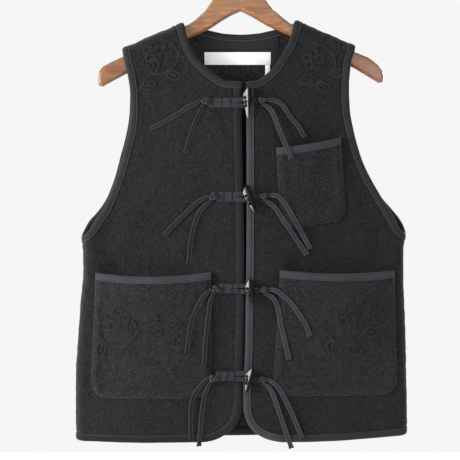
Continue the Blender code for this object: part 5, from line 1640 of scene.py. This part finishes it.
# %% Where the closures and ties lie
CLOSURES = table("tape_height toggle_top toggle_tip left_knot right_knot", [
    (491.9, (9.5, 513.0), (10.4, 469.6), (-51.7, 494.0), (29.4, 495.0)),
    (355.0, (5.5, 371.0), (22.2, 330.0), (-40.0, 355.5), (31.0, 356.0)),
    (222.4, (11.0, 235.5), (18.5, 199.0), (-37.0, 221.7), (31.6, 220.5)),
    (95.6, (15.0, 107.0), (8.0, 72.5), (-40.9, 93.0), (29.4, 91.0)),
])
TIES = {
    "tie_1_left_a": [(-78, 484.5), (-96, 473.0), (-115, 462.5), (-132.5, 454)],
    "tie_1_left_b": [(-62.5, 471.0), (-69.0, 455.0), (-74.5, 438.0), (-80, 419.5)],
    "tie_1_right_a": [(49.0, 495.5), (61.0, 488.4), (71.1, 472.9), (84.2, 457.3), (93.1, 442)],
    "tie_1_right_b": [(43.0, 482.5), (49.1, 470.0), (55.5, 452.0), (63.0, 433.5), (72.5, 411)],
    "tie_2_left_a": [(-62.0, 347.5), (-75.5, 335.0), (-88, 323.2), (-111.2, 299.6)],
    "tie_2_left_b": [(-55.5, 338.0), (-63.5, 324.0), (-71.2, 297.1), (-75.1, 258.3)],
    "tie_2_right_a": [(53.5, 356.0), (67.1, 340.5), (86.6, 306.2), (101.0, 279.7)],
    "tie_2_right_b": [(46.5, 342.5), (56.0, 330.5), (73.7, 303.5), (95.8, 271.3)],
    "tie_3_left_a": [(-54.5, 209.5), (-63.0, 195.0), (-71.2, 173.2), (-77.8, 130.5)],
    "tie_3_left_b": [(-44.0, 202.0), (-46.0, 186.1), (-50.5, 147.3), (-52.3, 114.5)],
    "tie_3_right_a": [(52.0, 219.0), (71.4, 203.0), (90.3, 176.8), (100.4, 153.6)],
    "tie_3_right_b": [(46.5, 209.0), (53.5, 195.0), (58.5, 168.1), (69.8, 120.3)],
    "tie_4_left_a": [(-57.5, 82.0), (-66.5, 69.5), (-71.2, 53.0), (-72.0, 30.0), (-71.2, 4.0)],
    "tie_4_left_b": [(-49.5, 75.0), (-53.8, 59.0), (-57.0, 30.0), (-58.6, 8.0), (-60.2, -5.8)],
    "tie_4_right_a": [(47.0, 86.5), (58.5, 73.0), (72.4, 45.4), (81.5, 24.0), (89.2, 5.3)],
    "tie_4_right_b": [(43.5, 76.0), (51.7, 55.7), (58.0, 37.0), (63.4, 20.8), (73.7, -8.9)],
}
print("ties:", len(TIES), "from", len(CLOSURES), "closures")

# %% Tails of ribbon
TIE_WAYS = {"a": (1.0, 0.2), "b": (0.42, -1.0)}
KNOT_HALF, KNOT_SEAT = (5.4, 4.4, 3.2), 0.87      # a frame knot's half size, and where ties start
TIE_START_WIDTH, TIE_PINCH, PINCH_THICKENS = 4.4, 0.13, 0.25
TIE_LEAN = {"left": (0.46, 0, -0.10), "right": (-0.03, 0, 0.02)}
# The left tails take the darker copy of the ribbon, as painted shade.
TIE_FINISH = {"left": tail_weave_shaded, "right": tail_weave}
RIBBON_SECTION = [
    (-1.0, 0.00), (-0.96, 0.45), (-0.85, 0.72), (-0.70, 0.66), (-0.55, 0.48), (-0.28, 0.40),
    (0.0, 0.42), (0.28, 0.40), (0.55, 0.48), (0.70, 0.66), (0.85, 0.72), (0.96, 0.45), (1.0, 0.0),
    (0.96, -0.45), (0.85, -0.72), (0.70, -0.66), (0.55, -0.48), (0.0, -0.42), (-0.55, -0.48),
    (-0.70, -0.66), (-0.85, -0.72), (-0.96, -0.45),
]
RIBBON_HALF = 0.75         # half of a ribbon's thickness in the frame
WANDER, SPREAD = 0.35 * 0.12, 0.45     # how a tail's width wanders, and how its end spreads
SLANT, NICK, NICK_REACH = 2.2, -1.1, 0.25      # its end is cut slanted and has a nick
END_PULL = (1.0, 0.6, 0.3)     # how much the last rings share in that


def tie_route(name):
    number, side, tail = name.split("_")[1:]
    closure = CLOSURES[int(number) - 1]
    knot = closure.left_knot if side == "left" else closure.right_knot
    way = np.array(TIE_WAYS[tail]) * (-1 if side == "left" else 1, 1)
    edge = 1 / math.hypot(way[0] / KNOT_HALF[0], way[1] / KNOT_HALF[1])
    start = np.array(knot) + way * (edge * KNOT_SEAT + 2 * GAP)
    return curve_through([start] + TIES[name], 1.3)


def sweep(centre, side, out, widths, section, heights):
    """Rings of a section along a line of points in metres. Widths and heights are in mm."""
    section = np.asarray(section, float)
    return (centre[:, None] + side[:, None] * (section[None, :, 0:1] * widths[:, None, None]) * MM
            + out[:, None] * (section[None, :, 1:2] * heights[:, None, None]) * MM)


def draw_sweep(name, rings, finish, stands_for, closed=False):
    around, along = run_of(rings[len(rings) // 2]), run_of(rings.mean(axis=1))
    return draw_tube(name, rings, finish, stands_for, around, along, closed), along[-1]


def draw_tie(name, seed):
    side_name = name.split("_")[2]
    spots, ways = land(face_tree(bpy.data.objects[name]), tie_route(name))
    out = unit(softened(ways, 8) + TIE_LEAN[side_name])
    centre = softened(spots, 3) - out * RIBBON_HALF * MM
    along = unit(np.gradient(centre, axis=0))
    out = square_to(along, out)
    share = np.linspace(0, 1, len(centre))
    spread = smooth_step(share / TIE_PINCH)
    widths = mix(TIE_START_WIDTH, RIBBON_WIDTH, spread) / 2
    wander = softened(np.random.default_rng(seed).uniform(-1, 1, len(centre)), 6)
    widths = widths * (1 + wander * WANDER) + SPREAD * smooth_step((share - 0.96) / 0.04)
    rings = sweep(centre, np.cross(along, out), out, widths, RIBBON_SECTION,
                  1 + PINCH_THICKENS * (1 - spread))
    across = np.array([point[0] for point in RIBBON_SECTION])
    slant = np.random.default_rng(seed + 50).uniform(-0.5, 0.5)
    cut = across * slant * SLANT + NICK * hill(across, 0, NICK_REACH)
    for back_from_end, pull in enumerate(END_PULL, 1):
        rings[-back_from_end] += along[-1] * (cut * pull * MM)[:, None]
    made, length = draw_sweep("ribbon_" + name, rings, TIE_FINISH[side_name], (name,))
    [tuple(p) for p in centre[::4].tolist() + [centre[-1].tolist()]]
    return length


tie_lengths = {name: round(float(draw_tie(name, 100 + i)) * 1000) for i, name in enumerate(TIES)}
print("ties, mm:", tie_lengths)

# %% [markdown]
# ### Doubled tapes
#
# Each toggle hangs on two narrow ribbons that lie side by side. Tacks pull them together and
# gather them, and at the toggle they part and pass through its holes. The tacks are pinches in
# the sweep with a thread over each, since painted lines would not catch the light.

# %% Doubled tapes
TACKS = {                  # where the tacks of each tape are, across the vest
    1: [-40.5, -27.0, -14.0], 2: [-24.0, -12.0], 3: [-24.0, -12.0, -2.5], 4: [-30.0, -19.0, -8.0],
}
TACK_REACH, TACK_PULL = 1.5, 0.7       # how far a tack pulls at the ribbons, and how much
TACK_PINCH, TACK_FLATTENS = 0.13, 0.45     # how much narrower and thinner it makes them
TACK_LONG, TACK_WIDE, TACK_LIFT = 14.5, 1.1, 0.45
CLOSED_SLIT, OPEN_SLIT = 0.1, 1.6      # between the two ribbons, at the knot and at the toggle
PART_START, PART_LENGTH = -12, 16      # where the slit opens
PART_NARROWS = 0.35


def draw_band(i, sense, tacks):
    tape_height, node = CLOSURES[i - 1].tape_height, bpy.data.objects[f"toggle_tape_{i}"]
    low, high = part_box(node.name)
    xs = np.linspace(low[0] / MM + 0.2, high[0] / MM - 0.2, 46)
    squeeze = sum(hill(xs, tack, TACK_REACH) for tack in tacks)
    parted = smooth_step((xs - PART_START) / PART_LENGTH)
    away = (RIBBON_WIDTH + mix(CLOSED_SLIT, OPEN_SLIT, parted)) / 2 - TACK_PULL * squeeze
    heights = tape_height + sense * away
    middle = tape_height + sense * RIBBON_WIDTH / 2 + 0 * xs
    spots, ways = land(face_tree(node), np.stack([xs, middle], axis=-1))
    out = unit(softened(ways, 6))
    centre = np.stack([xs * MM, softened(spots[:, 1], 3), (heights - HEM_BELOW_HOOK) * MM], axis=-1)
    centre = centre - out * RIBBON_HALF * MM
    along = unit(np.gradient(centre, axis=0))
    out = square_to(along, out)
    widths = RIBBON_WIDTH / 2 * (1 - TACK_PINCH * squeeze) - PART_NARROWS * parted
    rings = sweep(centre, np.cross(along, out), out, widths, RIBBON_SECTION,
                  1 - TACK_FLATTENS * np.clip(squeeze, 0, 1))
    draw_sweep(f"doubled_tape_{i}_{'upper' if sense > 0 else 'lower'}", rings, ribbon_weave,
               (node.name,) if sense > 0 else ())
    return centre, out


for i, tacks in TACKS.items():
    rows = [draw_band(i, sense, tacks) for sense in (1, -1)]
    middle, out = (rows[0][0] + rows[1][0]) / 2, rows[0][1]
    at = [int(np.argmin(np.abs(middle[:, 0] - tack * MM))) for tack in tacks]
    place = middle[at] + out[at] * TACK_LIFT * MM
    scatter(f"tacks_{i}", (place, np.tile([0.0, 0.0, 1.0], (len(at), 1)), out[at]), dark_thread_and_shadow,
            TACK_LONG, TACK_WIDE)
print("doubled tapes:", len(TACKS))

# %% [markdown]
# ### Knots
#
# A knot of ribbon is a lump of crossing turns. A trefoil swept with a flat oval section, squeezed
# into the knot's place, reads as one from every side. A ball with a bump map would not.

# %% Knots
KNOT_SECTION = [(math.cos(a), math.sin(a)) for a in np.linspace(0, 2 * math.pi, 13)[:-1]]
TURN_DEPTH = 1.3           # half the thickness of a turn of ribbon
KNOT_FORWARD, KNOT_SHALLOW = 0.4, 0.62
KNOT_FACING = (0, -0.0035, 0)      # its turns lie flatter towards the front
Lump = namedtuple("Lump", "half thick shift turn")
LUMPS = {
    "left": Lump((8.0, 4.1, 6.8), 2.55, 1.0, 0.5),
    "right": Lump((7.0, 3.8, 5.5), 2.2, 1.4, 1.9),
}


def draw_knot(name, node, lump, turn):
    low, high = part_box(node)
    middle = np.array((Vector(low) + Vector(high)) / 2) + [lump.shift * MM, -KNOT_FORWARD * MM, 0]
    t = np.linspace(0, 2 * math.pi, 85)[:-1]
    c, s = math.cos(turn), math.sin(turn)
    x, z = np.sin(t) + 2 * np.sin(2 * t), np.cos(t) - 2 * np.cos(2 * t)
    x, z = x * c - z * s, x * s + z * c
    reach = np.array(lump.half) - [lump.thick, TURN_DEPTH, lump.thick]
    trefoil = [x / 3 * reach[0], -np.sin(3 * t) * reach[1] * KNOT_SHALLOW, z / 3 * reach[2]]
    centre = middle + np.stack(trefoil, axis=-1) * MM
    along = unit(np.roll(centre, -1, axis=0) - np.roll(centre, 1, axis=0))
    out = square_to(along, unit(centre - middle + np.array(KNOT_FACING)))
    rings = sweep(centre, np.cross(along, out), out, np.full(len(t), lump.thick), KNOT_SECTION,
                  np.full(len(t), TURN_DEPTH))
    draw_sweep(name, rings, ribbon_weave, (node,), closed=True)


for i in NUMBERS:
    for side, lump in LUMPS.items():
        draw_knot(f"ribbon_knot_{i}_{side}", f"knot_{i}_{side}", lump, lump.turn + 0.35 * i)
print("knots:", len(NUMBERS) * len(LUMPS))

# %% [markdown]
# ### Toggles
#
# A toggle is sawn from the wall of a horn, so it has a pale outer facet and a dark one that meet
# at a ridge, and two holes drilled through. The copy's top corner is cut off with a bisecting
# plane and its edges are bevelled as if filed by hand. On each toggle the line where the dark
# colour begins is shifted and slanted by its own amount, so some are darker towards the tip.

# %% Toggles of horn
DARK_SHIFTS = table("shift slope", [(0, 0), (2.6, 0), (0.2, 0.2), (-0.2, 0.07)])
TOGGLE_HOLES = [(0.33, -4.3), (0.61, -3.3)]      # share of the length, and how far aside
HOLE_PROBE = 1.7           # beside a hole, where rays find the toggle's face
SHADOW_ASIDE = 0.7
HOLE_FILL, SHADOW_FILL, LOOP_FILL = table("long wide high", [
    (5.0, 4.3, 0.60), (6.8, 5.0, 0.35), (6.6, 4.4, 0.60),
])
CUT_LOW, CUT_HIGH = (-6.0, 8.5), (0.8, -0.3)     # the slanted cut, across and down from the top


def draw_toggle(i, closure, grain):
    top, tip = np.array(closure.toggle_top), np.array(closure.toggle_tip)
    length = float(np.linalg.norm(tip - top))
    along = unit(tip - top)
    side = np.array([-along[1], along[0]])
    obj = node_copy(f"horn_toggle_{i}", f"toggle_{i}")
    low, high = (top + side * across + along * down for across, down in (CUT_LOW, CUT_HIGH))
    edge = unit(high - low)
    open_alone(obj)
    bpy.ops.mesh.bisect(plane_co=(low[0] * MM, 0, (low[1] - HEM_BELOW_HOOK) * MM),
                        plane_no=(-edge[1], 0, edge[0]), use_fill=True, clear_outer=True)
    bpy.ops.object.mode_set(mode="OBJECT")
    soften(obj, 0.45, 3, 30.0)
    sideways, downward = np.array([side[0], 0, side[1]]), np.array([along[0], 0, along[1]])
    lay_map(obj, sideways, downward, np.array([top[0] * MM, 0, (top[1] - HEM_BELOW_HOOK) * MM]))
    for point in obj.data.uv_layers["cloth"].data:
        point.uv.x += grain.shift * MM + grain.slope * point.uv.y
    finish_piece(obj, horn, (f"toggle_{i}",), 40.0)
    seen = [top + along * length * share + side * aside for share, aside in TOGGLE_HOLES]
    tree = face_tree(bpy.data.objects[f"toggle_{i}"])
    spots, ways = land(tree, [p + side * HOLE_PROBE for p in seen])
    spots = spots - sideways * HOLE_PROBE * MM
    way = np.tile(downward, (2, 1))
    scatter(f"toggle_thread_{i}", (spots, way, ways), dark_thread_and_shadow, *HOLE_FILL)
    middle = spots.mean(axis=0, keepdims=True)
    # A near-black oval beside the loop is a painted shadow: the dark rim where the loop meets the
    # toggle.
    beside = middle + sideways * SHADOW_ASIDE * MM
    scatter(f"toggle_gap_{i}", (beside, way[:1], ways[:1]), dark_thread_and_shadow, *SHADOW_FILL)
    scatter(f"toggle_loop_{i}", (middle, way[:1], ways[:1]), ribbon_weave, *LOOP_FILL)


for i, (closure, grain) in enumerate(zip(CLOSURES, DARK_SHIFTS), 1):
    draw_toggle(i, closure, grain)
print("toggles:", len(CLOSURES))

# %% [markdown]
# ## Inside the neck
#
# A strip of dark twill faces the inside of the back, and a woven label with a small tab is sewn
# under it. They are plain strips, so the frame's own solids with softened edges will do, where new
# ones could part from the cloth. The label is blank here.

# %% Facing, label and tab
soft_copy("wool_neck_facing", "neck_facing", dark_twill, 0.3)
soft_copy("woven_label", "label", label_weave, 0.22, SIDEWAYS, UPWARD)
soft_copy("woven_tab", "label_tab", label_weave, 0.2, SIDEWAYS, UPWARD)
print("inside the neck: the facing, the label and its tab")

# %% [markdown]
# ## Hanger and hook
#
# The hanger is one bent piece of beech, rounded in section and varnished. The hook is wire bent
# round a mandrel and pushed into it. The hanger's solid has its form, so a copy gets round edges.
# The hook could be a bent cylinder, but a curve with a round bevel keeps its wire even all along.

# %% Hanger
hanger = soften(node_copy("beech_hanger", "hanger"), 0.8, 3, 30.0)
finish_piece(hanger, wood, ("hanger",), 50.0)
print("hanger:", len(hanger.data.polygons), "faces")

# %% Hook
WIRE_RADIUS, CROOK_RADIUS = 1.9, 19.0
CROOK_START, CROOK_END = 205, -32
HOOK_STEM = [(9.0, -41.5), (2.2, -47.0), (0.0, -53.0), (0.0, -57.1)]


def hook_path():
    radius = CROOK_RADIUS + WIRE_RADIUS
    angles = np.radians(np.linspace(CROOK_START, CROOK_END, 60))
    crook = [(radius * math.cos(a), radius * math.sin(a) - CROOK_RADIUS) for a in angles]
    stem = curve_through([crook[-2], crook[-1]] + HOOK_STEM, 1.0)
    return np.array(crook[:-2] + stem.tolist())


bpy.ops.object.select_all(action="DESELECT")
bpy.ops.curve.primitive_bezier_curve_add()
hook = bpy.context.object
hook.name = "wire_hook"
hook.data.splines.clear()
path = hook_path()
wire = hook.data.splines.new("POLY")
wire.points.add(len(path) - 1)
for point, (x, z) in zip(wire.points, path):
    point.co = (x * MM, 0.0, z * MM, 1.0)
hook.data.dimensions = "3D"
hook.data.bevel_depth, hook.data.bevel_resolution = WIRE_RADIUS * MM, 6
hook.data.use_fill_caps = True
bpy.ops.object.convert(target="MESH")
hook = bpy.context.object
open_alone(hook)
bpy.ops.mesh.remove_doubles(threshold=MERGE)
bpy.ops.mesh.normals_make_consistent(inside=False)
bpy.ops.object.mode_set(mode="OBJECT")
finish_piece(hook, steel, ("hook",), 50.0)
print("hook:", len(hook.data.polygons), "faces")

# %% [markdown]
# ## What the cloth is cut from
#
# For each piece of cloth, the size of the rectangle it is cut from and its own area are printed.
# Both could be written down by hand, but measured on the grids they always fit what is drawn.

# %% Cut sizes
def cut_size(places):
    flat = places.reshape(-1, 2)
    span = flat.max(axis=0) - flat.min(axis=0)
    return tuple(round(float(v) * MM, 4) for v in span)


def cut_area(places, keep=None):
    a, b = places[1:, 1:] - places[:-1, :-1], places[1:, :-1] - places[:-1, 1:]
    cells = np.abs(a[..., 0] * b[..., 1] - a[..., 1] * b[..., 0]) / 2
    return round(float((cells if keep is None else cells[keep]).sum()) * 1e-6, 5)


def declare(piece, places, keep=None):
    size, area = cut_size(places), cut_area(places, keep)
    print(piece.name, "cut from", size, "area", area)


declare(left_panel, left_front)
declare(right_panel, right_front)
declare(back_panel, back, back_cells)
for node, (patch, places, _) in pocket_pieces.items():
    declare(patch, places, None)

# %% [markdown]
# ## Floor, light and camera
#
# The vest hangs free over a pale floor. A soft light near its left side rakes across the nap, a
# larger one in front fills the shadows, and a third stands behind for the back. A single sun would
# cut hard shadows that the real thing doesn't have. A pale world does the rest, as in a light tent.

# %% Stage
FLOOR_Z, FLOOR_SIDE, FLOOR_TONE = -1.2, 4.0, 0.86
TENT_STRENGTH = 0.92
LIGHT_AIM = (0, 0, -0.4)
LIGHTS = {                 # place, size and power
    "key": ((-1.45, -0.62, -0.25), 0.7, 56),
    "fill": ((0.9, -1.9, -0.3), 1.4, 20),
    "back_fill": ((0.9, 1.9, 0.4), 1.4, 60),
}
bpy.ops.mesh.primitive_plane_add(size=FLOOR_SIDE, location=(0, 0, FLOOR_Z))
floor = bpy.context.object
floor.name = "floor"
pale = bpy.data.materials.new("floor_pale")
pale.use_nodes = True
pale_shader = pale.node_tree.nodes["Principled BSDF"]
pale_shader.inputs["Base Color"].default_value = (FLOOR_TONE, FLOOR_TONE, FLOOR_TONE, 1)
pale_shader.inputs["Roughness"].default_value = 0.9
floor.data.materials.append(pale)

world = bpy.data.worlds.new("tent")
bpy.context.scene.world = world
world.use_nodes = True
world.node_tree.nodes["Background"].inputs["Color"].default_value = (1.0, 1.0, 1.0, 1)
world.node_tree.nodes["Background"].inputs["Strength"].default_value = TENT_STRENGTH

for name, (place, size, power) in LIGHTS.items():
    bpy.ops.object.light_add(type="AREA", location=place)
    light = bpy.context.object
    light.name, light.data.size, light.data.energy = name, size, power
    light.rotation_euler = (Vector(LIGHT_AIM) - Vector(place)).to_track_quat("-Z", "Y").to_euler()
print("lights:", *LIGHTS)

# %% Camera
CAMERA = (-0.0155, -1.5, -0.4348)
FRAME_WIDTH = 0.678        # metres across the picture at the vest
SENSOR_WIDTH = 36.0
bpy.ops.object.camera_add(location=CAMERA, rotation=(QUARTER, 0, 0))
camera = bpy.context.object
camera.data.sensor_width = SENSOR_WIDTH
camera.data.lens = SENSOR_WIDTH * -CAMERA[1] / FRAME_WIDTH
bpy.context.scene.camera = camera
bpy.context.scene.view_settings.view_transform = "Standard"
print("camera lens", round(camera.data.lens, 2), "mm")

# %% The count of pieces and faces, and the end
print("pieces:", len(ALL_PIECES), "faces:", sum(len(p.data.polygons) for p in ALL_PIECES))
